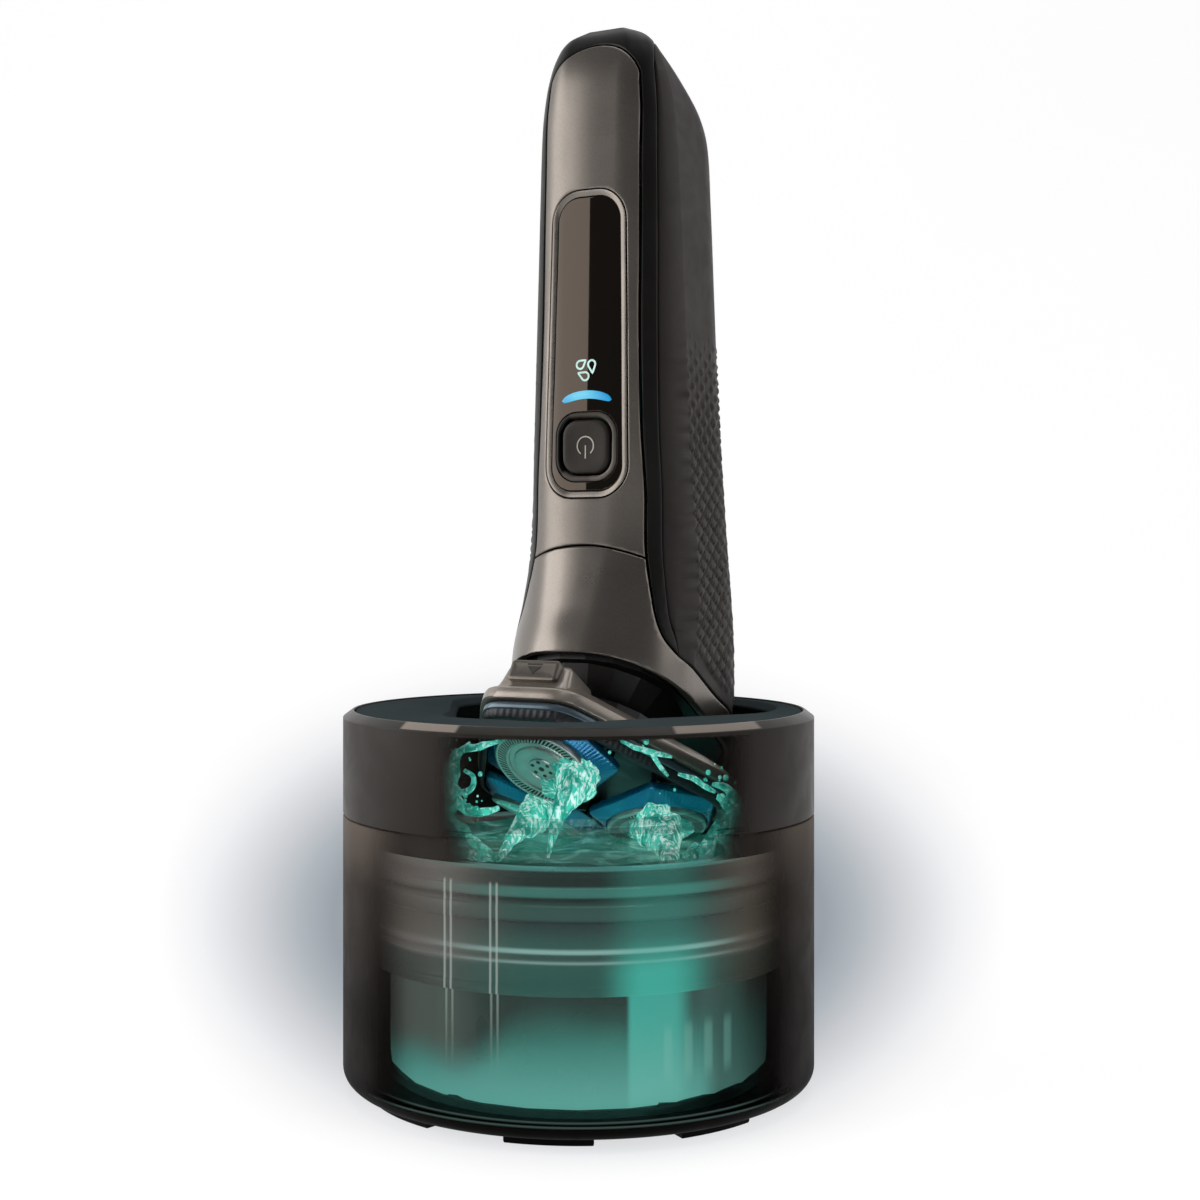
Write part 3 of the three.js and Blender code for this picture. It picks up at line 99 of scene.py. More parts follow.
def arc(x, y, radius, start, turn, n, last=1):
    # an arc in n steps, with its end point unless last is 0
    angles = [rad(start + turn * i / n) for i in range(n + last)]
    return [(x + radius * math.cos(a), y + radius * math.sin(a)) for a in angles]


def loopRound(corners, radius, n):
    # a rounded loop about four corner centres, from the right upper one leftwards
    return [p for k, (x, y) in enumerate(corners) for p in arc(x, y, radius, 90 * k, 90, n)]


def atHeight(outline, z):
    return [(x, y, z) for x, y in outline]


def skinned(rings, capFirst=True, capLast=True, around=True, back=False):
    # quads between rings; around closes each ring, back joins the last ring to the first
    n, m = len(rings[0]), len(rings)
    faces = []
    for a in range(m if back else m - 1):
        b = (a + 1) % m
        for i in range(n if around else n - 1):
            j = (i + 1) % n
            faces.append((a * n + i, a * n + j, b * n + j, b * n + i))
    if capFirst:
        faces.append(tuple(reversed(range(n))))
    if capLast:
        faces.append(tuple(range((m - 1) * n, m * n)))
    return [tuple(p) for ring in rings for p in ring], faces


def ringLoft(rings):
    return skinned(rings, False, False, back=True)


def turned(profile, sides=96, closed=True):
    # (radius, height) pairs turned about Z; a closed profile joins its last pair to its first
    points, faces = [], []
    n = len(profile)
    for i in range(sides):
        a, j = 2 * math.pi * i / sides, (i + 1) % sides
        points += [(r * math.cos(a), r * math.sin(a), z) for r, z in profile]
        for k in range(n if closed else n - 1):
            m = (k + 1) % n
            faces.append((i * n + k, j * n + k, j * n + m, i * n + m))
    # points on the axis are one
    index, keep, swap = {}, [], []
    for p in points:
        key = tuple(round(c / 1e-4) for c in p)
        if key not in index:
            index[key] = len(keep)
            keep.append(p)
        swap.append(index[key])
    merged = [tuple(dict.fromkeys(swap[i] for i in f)) for f in faces]
    return keep, [f for f in merged if len(f) > 2]


def rounded(profile, radius, n=3):
    # the corners of a closed profile rounded; a pair may carry its own radius as a third number
    out = []
    for i, p in enumerate(profile):
        r = p[2] if len(p) > 2 else radius
        corner = Vector(p[:2])
        u = Vector(profile[i - 1][:2]) - corner
        v = Vector(profile[(i + 1) % len(profile)][:2]) - corner
        cut = min(r, u.length * 0.45, v.length * 0.45)
        if cut < 1e-4 or u.angle(v, math.pi) > math.pi - 0.05:
            out.append((p[0], p[1]) if r <= 0 else tuple(corner))
            continue
        s, e = corner + u.normalized() * cut, corner + v.normalized() * cut
        for k in range(n + 1):
            t = k / n
            out.append(tuple(s * (1 - t) ** 2 + corner * 2 * t * (1 - t) + e * t ** 2))
    return out


def joined(*parts):
    points, faces = [], []
    for p, f in parts:
        faces += [tuple(i + len(points) for i in g) for g in f]
        points += list(p)
    return points, faces


def moved(part, matrix):
    return [tuple(matrix @ Vector(p)) for p in part[0]], part[1]


def sidedOutline(sides, sharpness, count, grow=0.0):
    # a rounded polygon; each side is its direction and its distance from the middle
    ring = []
    for i in range(count):
        a = 2 * math.pi * i / count
        reaches = [math.cos(a - rad(direction)) / (distance + grow) for direction, distance in sides]
        r = sum(reach ** sharpness for reach in reaches if reach > 0) ** (-1 / sharpness)
        ring.append((r * math.cos(a), r * math.sin(a)))
    return ring


def smoothLine(points, n=6):
    # a curve through the points, n steps between each two
    out = []
    for i in range(len(points) - 1):
        near = (points[max(i - 1, 0)], points[i], points[i + 1], points[min(i + 2, len(points) - 1)])
        for t in (k / n for k in range(n)):
            out.append(tuple(
                0.5 * (2 * b + (c - a) * t + (2 * a - 5 * b + 4 * c - d) * t * t + (3 * b - a - 3 * c + d) * t ** 3)
                for a, b, c, d in zip(*near)
            ))
    return out + [tuple(points[-1])]


def outlineField(outline):
    # signed distance to a closed outline, negative inside
    a = np.array(outline, float)
    b = np.roll(a, -1, axis=0)
    d = b - a
    length = np.maximum((d ** 2).sum(1), 1e-12)

    def field(u, v):
        p = np.stack([u, v], 1)
        best = np.full(len(p), 1e9)
        inside = np.zeros(len(p), bool)
        for i in range(len(a)):
            w = p - a[i]
            t = np.clip((w @ d[i]) / length[i], 0, 1)
            best = np.minimum(best, ((w - t[:, None] * d[i]) ** 2).sum(1))
            if abs(d[i][1]) > 1e-12:
                crosses = (a[i][1] <= v) != (b[i][1] <= v)
                inside ^= crosses & (u < a[i][0] + (v - a[i][1]) / d[i][1] * d[i][0])
        best = np.sqrt(best)
        return np.where(inside, -best, best)

    return field


def cutAt(points, faces, values):
    # splits the faces that the zero line of the values crosses
    points, values = list(points), list(values)
    made, out = {}, []
    for f in faces:
        ring, cuts = [], []
        for a, b in zip(f, f[1:] + f[:1]):
            ring.append(a)
            if (values[a] > 0) == (values[b] > 0):
                continue
            key = (min(a, b), max(a, b))
            if key not in made:
                t = min(max(values[key[0]] / (values[key[0]] - values[key[1]]), 0.002), 0.998)
                made[key] = len(points)
                points.append(tuple(p + (q - p) * t for p, q in zip(points[key[0]], points[key[1]])))
                values.append(0.0)
            cuts.append(len(ring))
            ring.append(made[key])
        if len(cuts) == 2:
            i, j = cuts
            out += [tuple(ring[i:j + 1]), tuple(ring[j:] + ring[:i + 1])]
        else:
            out.append(f)
    return points, out


def vertexNormals(points, faces):
    normals = np.zeros_like(points)
    for f in faces:
        for k in range(1, len(f) - 1):
            n = np.cross(points[f[k]] - points[f[0]], points[f[k + 1]] - points[f[0]])
            for i in (f[0], f[k], f[k + 1]):
                normals[i] += n
    return normals / np.maximum(np.linalg.norm(normals, axis=1), 1e-12)[:, None]


def shellPart(skin, fields, lip, depth, relief=None):
    # the part of a skin where every field is negative, with rounded lips and walls of that depth behind its
    # edges
    points, faces = skin
    for field in fields:
        points, faces = cutAt(points, faces, field(np.array(points)))
        p = np.array(points)
        keep = field(np.array([p[list(f)].mean(0) for f in faces])) < 0
        faces = [f for f, k in zip(faces, keep) if k]
        used = sorted({i for f in faces for i in f})
        swap = {old: new for new, old in enumerate(used)}
        points, faces = [points[i] for i in used], [tuple(swap[i] for i in f) for f in faces]
    for field in fields:
        for level in (0.3 * lip, lip):
            points, faces = cutAt(points, faces, field(np.array(points)) + level)
    p = np.array(points)
    normals = vertexNormals(p, faces)
    edge = -np.max([field(p) for field in fields], axis=0)
    near = np.clip(lip - edge, 0, lip)
    sink = lip - np.sqrt(np.maximum(lip ** 2 - near ** 2, 0))
    lift = relief(p, edge) if relief else 0.0
    result = [tuple(q) for q in p - normals * (sink - lift)[:, None]]
    sides = {(a, b): None for f in faces for a, b in zip(f, f[1:] + f[:1])}
    low, walls = {}, []
    for a, b in sides:
        if (b, a) in sides:
            continue
        for i in (a, b):
            if i not in low:
                low[i] = len(result)
                result.append(tuple(p[i] - normals[i] * depth))
        walls.append((b, a, low[a], low[b]))
    return result, list(faces) + walls


# material helpers


class Flow:
    # a shader value that plain sums can be written with
    def __init__(self, socket):
        self.socket, self.tree = socket, socket.id_data


def operator(name, swap):
    return lambda one, two: calc(name, two, one) if swap else calc(name, one, two)


for sign, name in (("add", "ADD"), ("sub", "SUBTRACT"), ("mul", "MULTIPLY"), ("truediv", "DIVIDE")):
    setattr(Flow, f"__{sign}__", operator(name, False))
    setattr(Flow, f"__r{sign}__", operator(name, True))


def tone(colour):
    # a screen colour of three numbers as the shader takes it; one of four is already linear
    if len(colour) == 4:
        return colour
    shares = [c / 255 for c in colour]
    return tuple(c / 12.92 if c <= 0.04045 else ((c + 0.055) / 1.055) ** 2.4 for c in shares) + (1.0,)


def shaded(colour, share):
    return tuple(c * share for c in tone(colour)[:3]) + (1.0,)


def wire(node, inputs):
    for key, value in inputs.items():
        if isinstance(value, Flow):
            node.id_data.links.new(value.socket, node.inputs[key])
        else:
            node.inputs[key].default_value = value
    return node


def add(tree, kind, inputs=None, out=0, **props):
    # a node's output, or several of them where out names several
    node = tree.nodes.new("ShaderNode" + kind)
    for key, value in props.items():
        setattr(node, key, value)
    wire(node, inputs or {})
    return [Flow(node.outputs[o]) for o in out] if isinstance(out, tuple) else Flow(node.outputs[out])


def treeOf(*values):
    return next(v.tree for v in values if isinstance(v, Flow))


def calc(operation, *values):
    return add(treeOf(*values), "Math", dict(enumerate(values)), operation=operation)


def span(value, low, high, toLow=0.0, toHigh=1.0, kind="SMOOTHSTEP"):
    inputs = {"Value": value, "From Min": low, "From Max": high, "To Min": toLow, "To Max": toHigh}
    return add(value.tree, "MapRange", inputs, interpolation_type=kind)


def share(value, low, high):
    return span(value, 0.0, 1.0, low, high, "LINEAR")


def within(value, low, lowEnd, high, highEnd):
    # 1 between two soft edges
    return span(value, low, lowEnd) * span(value, high, highEnd, 1.0, 0.0)


def blend(factor, a, b, mode="MIX"):
    a, b = (v if isinstance(v, Flow) else tone(v) for v in (a, b))
    return add(treeOf(factor, a, b), "Mix", {0: factor, 6: a, 7: b}, 2, data_type="RGBA", blend_type=mode)


def steps(value, low, high, *stops):
    # colours at stated places along a value, each stop a place and its three numbers
    ramp = add(value.tree, "ValToRGB", {"Fac": span(value, low, high, kind="LINEAR")})
    elements = ramp.socket.node.color_ramp.elements
    places = [(at - low) / (high - low) for at, *_ in stops]
    elements[0].position, elements[1].position = places[0], places[-1]
    elements[0].color, elements[1].color = tone(stops[0][1:]), tone(stops[-1][1:])
    for at, stop in list(zip(places, stops))[1:-1]:
        elements.new(at).color = tone(stop[1:])
    return ramp


def group(name, inputs, outputs, build):
    # inputs are given with their defaults, outputs by name; a colour is four numbers
    tree = bpy.data.node_groups.new(name, "ShaderNodeTree")
    for label, value in inputs.items():
        kind = "NodeSocketColor" if isinstance(value, tuple) else "NodeSocketFloat"
        tree.interface.new_socket(label, in_out="INPUT", socket_type=kind).default_value = value
    for label in outputs:
        kind = "NodeSocketColor" if label == "Colour" else "NodeSocketFloat"
        tree.interface.new_socket(label, in_out="OUTPUT", socket_type=kind)
    enter, leave = (tree.nodes.new("NodeGroup" + end) for end in ("Input", "Output"))
    wire(leave, build(tree, {label: Flow(enter.outputs[label]) for label in inputs}))
    return tree


def use(tree, shared, **inputs):
    node = tree.nodes.new("ShaderNodeGroup")
    node.node_tree = shared
    return {o.name: Flow(o) for o in wire(node, inputs).outputs}


def place(tree):
    # the piece's own coordinates in millimetres
    return add(tree, "VectorMath", {0: add(tree, "TexCoord", out="Object"), 1: (1000, 1000, 1000)},
               operation="MULTIPLY")


def axes(tree, vector=None):
    return add(tree, "SeparateXYZ", {0: vector or place(tree)}, (0, 1, 2))


def turnOf(y, x):
    return calc("ARCTAN2", y, x) * (180 / math.pi)


def frontWays(tree):
    # u across the front view, w towards it, and the height
    x, y, z = axes(tree)
    return x * acrossX + y * acrossY, x * acrossY - y * acrossX, z


def noiseAt(tree, at, scale, detail, **inputs):
    return add(tree, "TexNoise", {"Vector": at, "Scale": scale, "Detail": detail, **inputs})


def buildPaint(tree, ins):
    # slow drift of colour and gloss, and a fine grain for the bump
    at = place(tree)
    slow = noiseAt(tree, at, ins["Drift"], 3.0, Roughness=0.55)
    smear = noiseAt(tree, at, ins["Drift"] * 4.3, 4.0, Distortion=0.6)
    return {
        "Colour": blend(span(slow, 0.3, 0.7), ins["Colour"], ins["Worn"]),
        "Roughness": share(span(smear, 0.3, 0.72), ins["Smooth"], ins["Rough"]),
        "Height": noiseAt(tree, at, ins["Grain"], 2.0),
    }


greyTone = (0.5, 0.5, 0.5, 1)
paint = group("paintDrift", {"Colour": greyTone, "Worn": greyTone, "Drift": 0.05, "Grain": 4.0,
                             "Smooth": 0.2, "Rough": 0.4},
              ("Colour", "Roughness", "Height"), buildPaint)


def buildFlakes(tree, ins):
    # metal flakes in a lacquer: each cell is a little lighter or darker and leans its own way
    cells = add(tree, "TexVoronoi", {"Vector": place(tree), "Scale": ins["Scale"]}, "Color")
    light, lean, _ = axes(tree, cells)
    return {"Colour": blend(1.0, ins["Colour"], share(light, 1.0 - ins["Depth"], 1.0 + ins["Depth"]),
                            "MULTIPLY"), "Height": lean}


flakes = group("lacquerFlakes", {"Colour": greyTone, "Scale": 6.0, "Depth": 0.2}, ("Colour", "Height"),
               buildFlakes)


def buildWindow(tree, ins):
    # 1 inside a window in a round wall that faces one way, soft at its edges
    x, y, z = axes(tree)
    off = calc("ABSOLUTE", calc("WRAP", turnOf(y, x) - ins["Facing"], 180.0, -180.0))
    across = span(off, ins["Half"] - ins["Feather"], ins["Half"], 1.0, 0.0)
    up = span(z, ins["Bottom"], ins["Bottom"] + ins["Soft"])
    return {"Mask": across * up * span(z, ins["Top"] - ins["Soft"], ins["Top"], 1.0, 0.0)}


window = group("roundWindow", {"Facing": -60.0, "Half": 40.0, "Feather": 5.0, "Bottom": 0.0, "Top": 50.0,
                               "Soft": 1.0}, ("Mask",),
               buildWindow)


def shaderOf(m):
    return m.node_tree, m.node_tree.nodes["Principled BSDF"]


def material(name, colour, rough=(0.25, 0.4), metallic=0.0, drift=0.05, bump=0.02, worn=None, grain=4.0,
             flake=None, **sockets):
    m = bpy.data.materials.new(name)
    m.use_nodes = True
    tree, shader = shaderOf(m)
    wire(shader, {"Metallic": metallic, **{key.replace("_", " "): value for key, value in sockets.items()}})
    out = use(tree, paint, Colour=tone(colour), Worn=tone(worn) if worn else shaded(colour, 0.86),
              Drift=drift, Grain=grain,
              Smooth=rough[0], Rough=rough[1])
    base, height = out["Colour"], out["Height"]
    if flake:
        spark = use(tree, flakes, Colour=base, Scale=flake[0], Depth=flake[1])
        base, height = spark["Colour"], spark["Height"]
    wire(shader, {"Base Color": base, "Roughness": out["Roughness"]})
    if bump:
        wire(shader, {"Normal": add(tree, "Bump", {"Strength": bump, "Distance": 0.0002, "Height": height})})
    return m


def fed(shader, socket):
    return Flow(shader.inputs[socket].links[0].from_socket)


def lit(m, colour, strength=1.0):
    wire(shaderOf(m)[1], {"Emission Color": colour, "Emission Strength": strength})


def tinted(m, shade, factor=0.92):
    # lays a shade over the material's own colour
    shader = shaderOf(m)[1]
    wire(shader, {"Base Color": blend(factor, fed(shader, "Base Color"), shade)})


def bowed(m, middle=0.0, radius=36.0, reach=7.0):
    # lets the flat front catch the light as a gently bowed one does
    tree, shader = shaderOf(m)
    x = axes(tree)[0] - middle
    height = calc("EXPONENT", x * x * (-0.5 / reach ** 2)) * (reach ** 2 / radius)
    inputs = {"Strength": 1.0, "Distance": mm, "Height": height}
    if shader.inputs["Normal"].links:
        inputs["Normal"] = fed(shader, "Normal")
    wire(shader, {"Normal": add(tree, "Bump", inputs)})
    return m


# handle materials

handleTones = {
    "lacquer": (124, 118, 112), "lacquerWorn": (118, 112, 106), "band": (22, 20, 18), "grip": (58, 52, 49),
    "gripWorn": (52, 47, 44),
    "silver": (120, 114, 108), "glass": (8, 7, 6), "button": (54, 48, 43), "print": (176, 168, 158),
    "arc": (30, 160, 235), "arcEnds": (0, 150, 208), "arcMiddle": (104, 204, 234), "sign": (204, 242, 234),
}


def lacquered(name, colour, worn, rough, bump, depth, middle):
    flaked = material(name, colour, rough, 0.95, 0.03, bump, worn, flake=(5.0, depth), Specular_IOR_Level=0.3)
    return bowed(flaked, middle)


def glowing(name, colour, strength=0.95):
    # a lit part, a little uneven
    m = material(name, shaded(colour, 0.15), (0.3, 0.4), drift=0.2, bump=0.01)
    tree = shaderOf(m)[0]
    uneven = span(noiseAt(tree, place(tree), 0.8, 1.0), 0.35, 0.65)
    lit(m, blend(uneven, shaded(colour, 0.8), colour), strength)
    return m


def arcGlow():
    # brightest in the middle of the bar and fading to its ends
    m = glowing("arcGlow", handleTones["arc"])
    x = axes(shaderOf(m)[0])[0]
    middle = span(calc("ABSOLUTE", x + 1.2), 0.3, 6.0, 1.0, 0.0)
    lit(m, blend(middle, handleTones["arcEnds"], handleTones["arcMiddle"]), 0.95)
    return m


lacquer = lacquered("bronzeLacquer", handleTones["lacquer"], handleTones["lacquerWorn"], (0.35, 0.39), 0.006,
                    0.07, -3.0)
neckLacquer = lacquered("neckLacquer", handleTones["lacquer"], handleTones["lacquer"], (0.27, 0.31), 0.004,
                        0.06, -4.0)
bandBlack = material("bandBlack", handleTones["band"], (0.36, 0.44), 0.0, 0.04, 0.01, Specular_IOR_Level=0.22)
gripRubber = material("gripRubber", handleTones["grip"], (0.5, 0.58), 0.0, 0.06, 0.04,
                      handleTones["gripWorn"], 9.0,
                      Specular_IOR_Level=0.25)
silverTrim = material("silverTrim", handleTones["silver"], (0.26, 0.32), 1.0, 0.1, 0.0)
displayGlass = bowed(material("displayGlass", handleTones["glass"], (0.03, 0.05), 0.0, 0.03, 0.0,
                              Specular_IOR_Level=0.48, Specular_Tint=(1.0, 0.8, 0.64, 1.0)))
buttonBlack = material("buttonBlack", handleTones["button"], (0.36, 0.44), 0.0, 0.08, 0.01,
                       Specular_IOR_Level=0.2)
arcLit = arcGlow()
signLit = glowing("signLit", handleTones["sign"])
signPrint = material("signPrint", handleTones["print"], (0.3, 0.4), 0.5, 0.2, 0.01)

# handle form: height, front, back, half width, front corner, back corner

stations = np.array([
    (56, -5.6, 39.5, 20, 17.5, 14), (72, -6, 40.6, 20.3, 17.8, 14), (86, -5.6, 41, 20.2, 17.6, 14),
    (97.5, -1.2, 40.7, 19.5, 16, 13.5), (109, 1.8, 40.2, 18.6, 13.9, 13), (130, 2.5, 39, 17.6, 12.2, 12.5),
    (158, 3.4, 37.8, 16.8, 11.1, 12), (182, 4, 37.2, 15.9, 10, 11.5), (194, 4.3, 36.4, 15.3, 9.3, 11),
    (200, 4.6, 33.2, 14.7, 8.8, 10.5), (206, 5.4, 25.8, 13.5, 7.6, 9), (211, 7, 18.2, 11.6, 5.4, 5.6),
    (214.5, 9, 15.2, 8.8, 3, 3), (216.3, 11.2, 13.2, 4.4, 0.9, 0.9),
], float)
handleTop, domeFoot = 216.25, 196.0


def stationAt(z):
    # front, back, half width and the two corner radii at heights z
    zs, rows = stations[:, 0], stations[:, 1:]
    z = np.clip(np.asarray(z, float), zs[0], zs[-1])
    i = np.clip(np.searchsorted(zs, z, side="right") - 1, 0, len(zs) - 2)
    slope = np.zeros_like(rows)
    slope[1:-1] = (rows[2:] - rows[:-2]) / (zs[2:] - zs[:-2])[:, None]
    slope[0] = (rows[1] - rows[0]) / (zs[1] - zs[0])
    slope[-1] = (rows[-1] - rows[-2]) / (zs[-1] - zs[-2])
    length = (zs[i + 1] - zs[i])[..., None]
    t = (z - zs[i])[..., None] / length
    return (rows[i] * (2 * t ** 3 - 3 * t ** 2 + 1) + slope[i] * length * (t ** 3 - 2 * t ** 2 + t)
            + rows[i + 1] * (3 * t ** 2 - 2 * t ** 3) + slope[i + 1] * length * (t ** 3 - t ** 2))


def handleRing(z, counts):
    # counts: front corners, back corners, sides, front, back
    front, back, half, cf, cb = (float(v) for v in stationAt(z))
    room = min(half, (back - front) / 2) - 0.05
    cf, cb = min(max(cf, 0.5), room), min(max(cb, 0.5), room)
    nf, nb, ns, nFront, nBack = counts

    def line(x0, y0, x1, y1, n):
        return [(x0 + (x1 - x0) * i / n, y0 + (y1 - y0) * i / n) for i in range(n)]

    return atHeight(
        arc(half - cb, back - cb, cb, 0, 90, nb, 0) + line(half - cb, back, -half + cb, back, nBack)
        + arc(-half + cb, back - cb, cb, 90, 90, nb, 0) + line(-half, back - cb, -half, front + cf, ns)
        + arc(-half + cf, front + cf, cf, 180, 90, nf, 0) + line(-half + cf, front, half - cf, front, nFront)
        + arc(half - cf, front + cf, cf, 270, 90, nf, 0) + line(half, front + cf, half, back - cb, ns), z)


def handleSkin(low, high, step, counts, cap=False):
    top = min(high, domeFoot)
    count = max(2, int(round((top - low) / step)))
    rows = [low + (top - low) * i / count for i in range(count)]
    if high > domeFoot:
        n = max(24, int(34 / step))
        rows += [domeFoot + (high - domeFoot) * math.sin(i / n * math.pi / 2) for i in range(n + 1)]
    else:
        rows.append(high)
    return skinned([handleRing(z, counts) for z in rows], False, cap)


# the lines along which the handle's shells part, in side view

shellValues = {"panelDepth": 1.6, "panelFlare": 1.6, "bandWidth": 2.6, "seam": 105.6, "endFlat": 204.0,
               "halfGap": 0.13,
               "archTop": 109.0, "archFall": 3.4, "topHalf": 10.9, "topRise": 9.3, "topFoot": 203.0}
unitMiddle, unitTilt, rimLevel = (-0.5, 56.0), 32.0, 24.2
seam, endFlat = shellValues["seam"], shellValues["endFlat"]


def panelEdge(z):
    flare = min(max((160 - z) / (160 - seam), 0), 1)
    return float(stationAt(z)[0]) + shellValues["panelDepth"] + shellValues["panelFlare"] * flare ** 2


def rimHeight(y):
    return unitMiddle[1] + rimLevel / math.cos(rad(unitTilt)) - math.tan(rad(unitTilt)) * (y - unitMiddle[0])


def edgeLine(offset, ends):
    # the panel's edge moved back by an offset, then ends given from where it stops
    flat = panelEdge(endFlat) + offset
    return [(panelEdge(z) + offset, z) for z in np.linspace(seam, endFlat, 9)] + [(flat + y, z) for y,
        z in ends]


panelLine = edgeLine(0.0, [(1.5, 208.8), (1.9, 211.2), (0.9, 212.8), (-3, 213.6)]) + [(-40, 214.0)]
gripLine = [(6.9, 80.0), (6.9, 88.0), (6.2, 93.4), (6.5, 98.6)]
gripLine += edgeLine(shellValues["bandWidth"], [(1.0, 208.6), (3.2, 212.0), (8.0, 214.9), (16.0, 218.6)])
neckLine = [(60, rimHeight(60) + 10.9)] + [(y, rimHeight(y) + 7.0 + max(y - 21, 0) * 0.1) for y in (40, 28,
    21, 12.2)]
neckLine += [(7.8, 86.1), (6.1, 87.4), (4.2, 90.0), (3.6, 93.4), (3.9, 98.6), (panelEdge(seam), seam)]
topCurve = [(shellValues["topHalf"] * math.cos(a),
             shellValues["topFoot"] + shellValues["topRise"] * math.sin(a)) for a in np.linspace(0, math.pi,
             41)]


def regionOf(outline, axis):
    # a field over that axis and the height
    field = outlineField(outline)
    return lambda p: field(p[:, axis], p[:, 2])


inFront = regionOf([(60, 20)] + smoothLine(neckLine) + smoothLine(panelLine)[1:] + [(-40, 20)], 1)
inGrip = regionOf(smoothLine(gripLine) + [(80, 218.6), (80, 20), (6.9, 20)], 1)
# the panel ends in a rounded top, and the band fills what lies above it
underTop = regionOf([(-30, 20), (30, 20),
                     (30, shellValues["topFoot"])] + topCurve + [(-30, shellValues["topFoot"])], 0)


def besidePanel(p):
    return np.minimum(-inFront(p), -underTop(p))


def aboveArch(p):
    return (shellValues["archTop"] - shellValues["archFall"] * (p[:, 0] / 15) ** 2 - p[:, 2]) * 0.97


def rimField(p):
    s, c = math.sin(rad(unitTilt)), math.cos(rad(unitTilt))
    return rimLevel - ((p[:, 1] - unitMiddle[0]) * s + (p[:, 2] - unitMiddle[1]) * c)


def displayOutline(grow, n=10):
    # a little narrower at its top; less than nothing lowers it and still widens it, so that the glass runs in
    # under the surround
    corner = 5.2 + grow
    top, foot = 180.6 + grow - corner, 120.0 - grow + corner
    high, low = 7.3 + abs(grow) - corner, 8.3 + abs(grow) - corner
    return loopRound([(high, top), (-high, top), (-low, foot), (low, foot)], corner, n)


def windowField(grow):
    field = regionOf(displayOutline(grow), 0)
    return lambda p: np.where(p[:, 1] < 12, -field(p), -9.0)


def socketField(p):
    # keeps the round hole of the charging socket free in the handle's sloping end
    lean = rad(36)
    across = (p[:, 1] - 26.4) * math.cos(lean) - (p[:, 2] - 205.2) * math.sin(lean)
    return 5.25 - np.hypot(p[:, 0], across)


def gapped(*fields):
    # inside every field, with the half gap kept free
    return [lambda p, f=f: f(p) + shellValues["halfGap"] for f in fields]


def outside(field):
    return lambda p: -field(p)


gripPattern = {"pitchAround": 4.4, "pitchUp": 1.75, "top": 153.0, "full": 118.0, "margin": 2.6,
               "height": 0.34}


def gripRelief(p, edge):
    # rows of scales: small studs high up that grow into full diamonds lower down
    g = gripPattern
    x, y, z = np.abs(p[:, 0]), p[:, 1], p[:, 2]
    _, back, half, _, cb = stationAt(z).T
    corner = np.arctan2(np.maximum(x - (half - cb), 0), np.maximum(y - (back - cb), 1e-6))
    onBack = np.where(x > half - cb, (half - cb) + cb * corner, x)
    around = np.where(y > back - cb, onBack, (half - cb) + cb * math.pi / 2 + (back - cb - y))
    best, lean = np.full(len(p), 9.0), np.zeros(len(p))
    for shift in (0.0, 0.5):
        a = (around / g["pitchAround"] + shift) % 1.0 - 0.5
        b = (z / (2 * g["pitchUp"]) + shift) % 1.0 - 0.5
        d = 2 * (np.abs(a) + np.abs(b))
        best, lean = np.where(d < best, d, best), np.where(d < best, b, lean)
    size = 0.22 + 0.66 * np.clip((g["top"] - z) / (g["top"] - g["full"]), 0, 1) ** 0.8
    plateau = np.clip((size - best) / 0.12, 0, 1)
    plateau = plateau * plateau * (3 - 2 * plateau)
    fade = np.clip((g["top"] + 2 - z) / 8, 0, 1) * np.clip((edge - g["margin"]) / 0.8, 0, 1)
    return g["height"] * plateau * fade * (1 - 0.7 * lean)


print("handle shells")
for name, look, slot, (low, high, step, counts), fields, lip, depth, relief in (
    ("front_panel", lacquer, "bronze_lacquer", (100, 214, 0.8, (24, 3, 10, 14, 3)),
     gapped(inFront, underTop, aboveArch, windowField(1.3)), 0.3, 1.2, None),
    ("neck_cover", neckLacquer, "bronze_lacquer", (58, 110.5, 0.8, (24, 16, 30, 12, 14)),
     gapped(inFront, outside(aboveArch)) + [rimField], 0.35, 1.2, None),
    ("side_band", bandBlack, "black_gloss", (84, handleTop, 0.9, (26, 14, 24, 10, 12)),
     gapped(besidePanel, outside(inGrip)), 0.3, 1.1, None),
    ("back_grip", gripRubber, "grip_rubber", (66, 214.2, 0.62, (4, 30, 44, 3, 26)),
     gapped(inGrip, outside(inFront)) + [socketField], 0.4, 1.2, gripRelief),
):
    skin = handleSkin(low, high, step, counts, high == handleTop)
    piece(name + "_skin", shellPart(skin, fields, lip, depth, relief), look, "shaver", slot, name, 50)

# display, button and signs

displayValues = {"recess": 0.5, "buttonSize": 11.2, "buttonCorner": 4.85, "buttonZ": 129.1, "arcZ": 139.2,
                 "signs": (-0.35, 144.95),
                 "line": 0.4, "powerLine": 0.27}
buttonZ = displayValues["buttonZ"]


def frontSkin(x, z):
    front, _, half, corner, _ = (float(v) for v in stationAt(z))
    past = max(abs(x) - (half - corner), 0.0)
    return front + corner - math.sqrt(max(corner ** 2 - past ** 2, 0.0))


def onFront(outline, depth):
    return [(x, frontSkin(x, z) + depth, z) for x, z in outline]


def dense(outline, step=0.8):
    out = []
    for a, b in zip(outline, outline[1:] + outline[:1]):
        n = max(1, int(math.dist(a, b) / step))
        out += [(a[0] + (b[0] - a[0]) * k / n, a[1] + (b[1] - a[1]) * k / n) for k in range(n)]
    return out


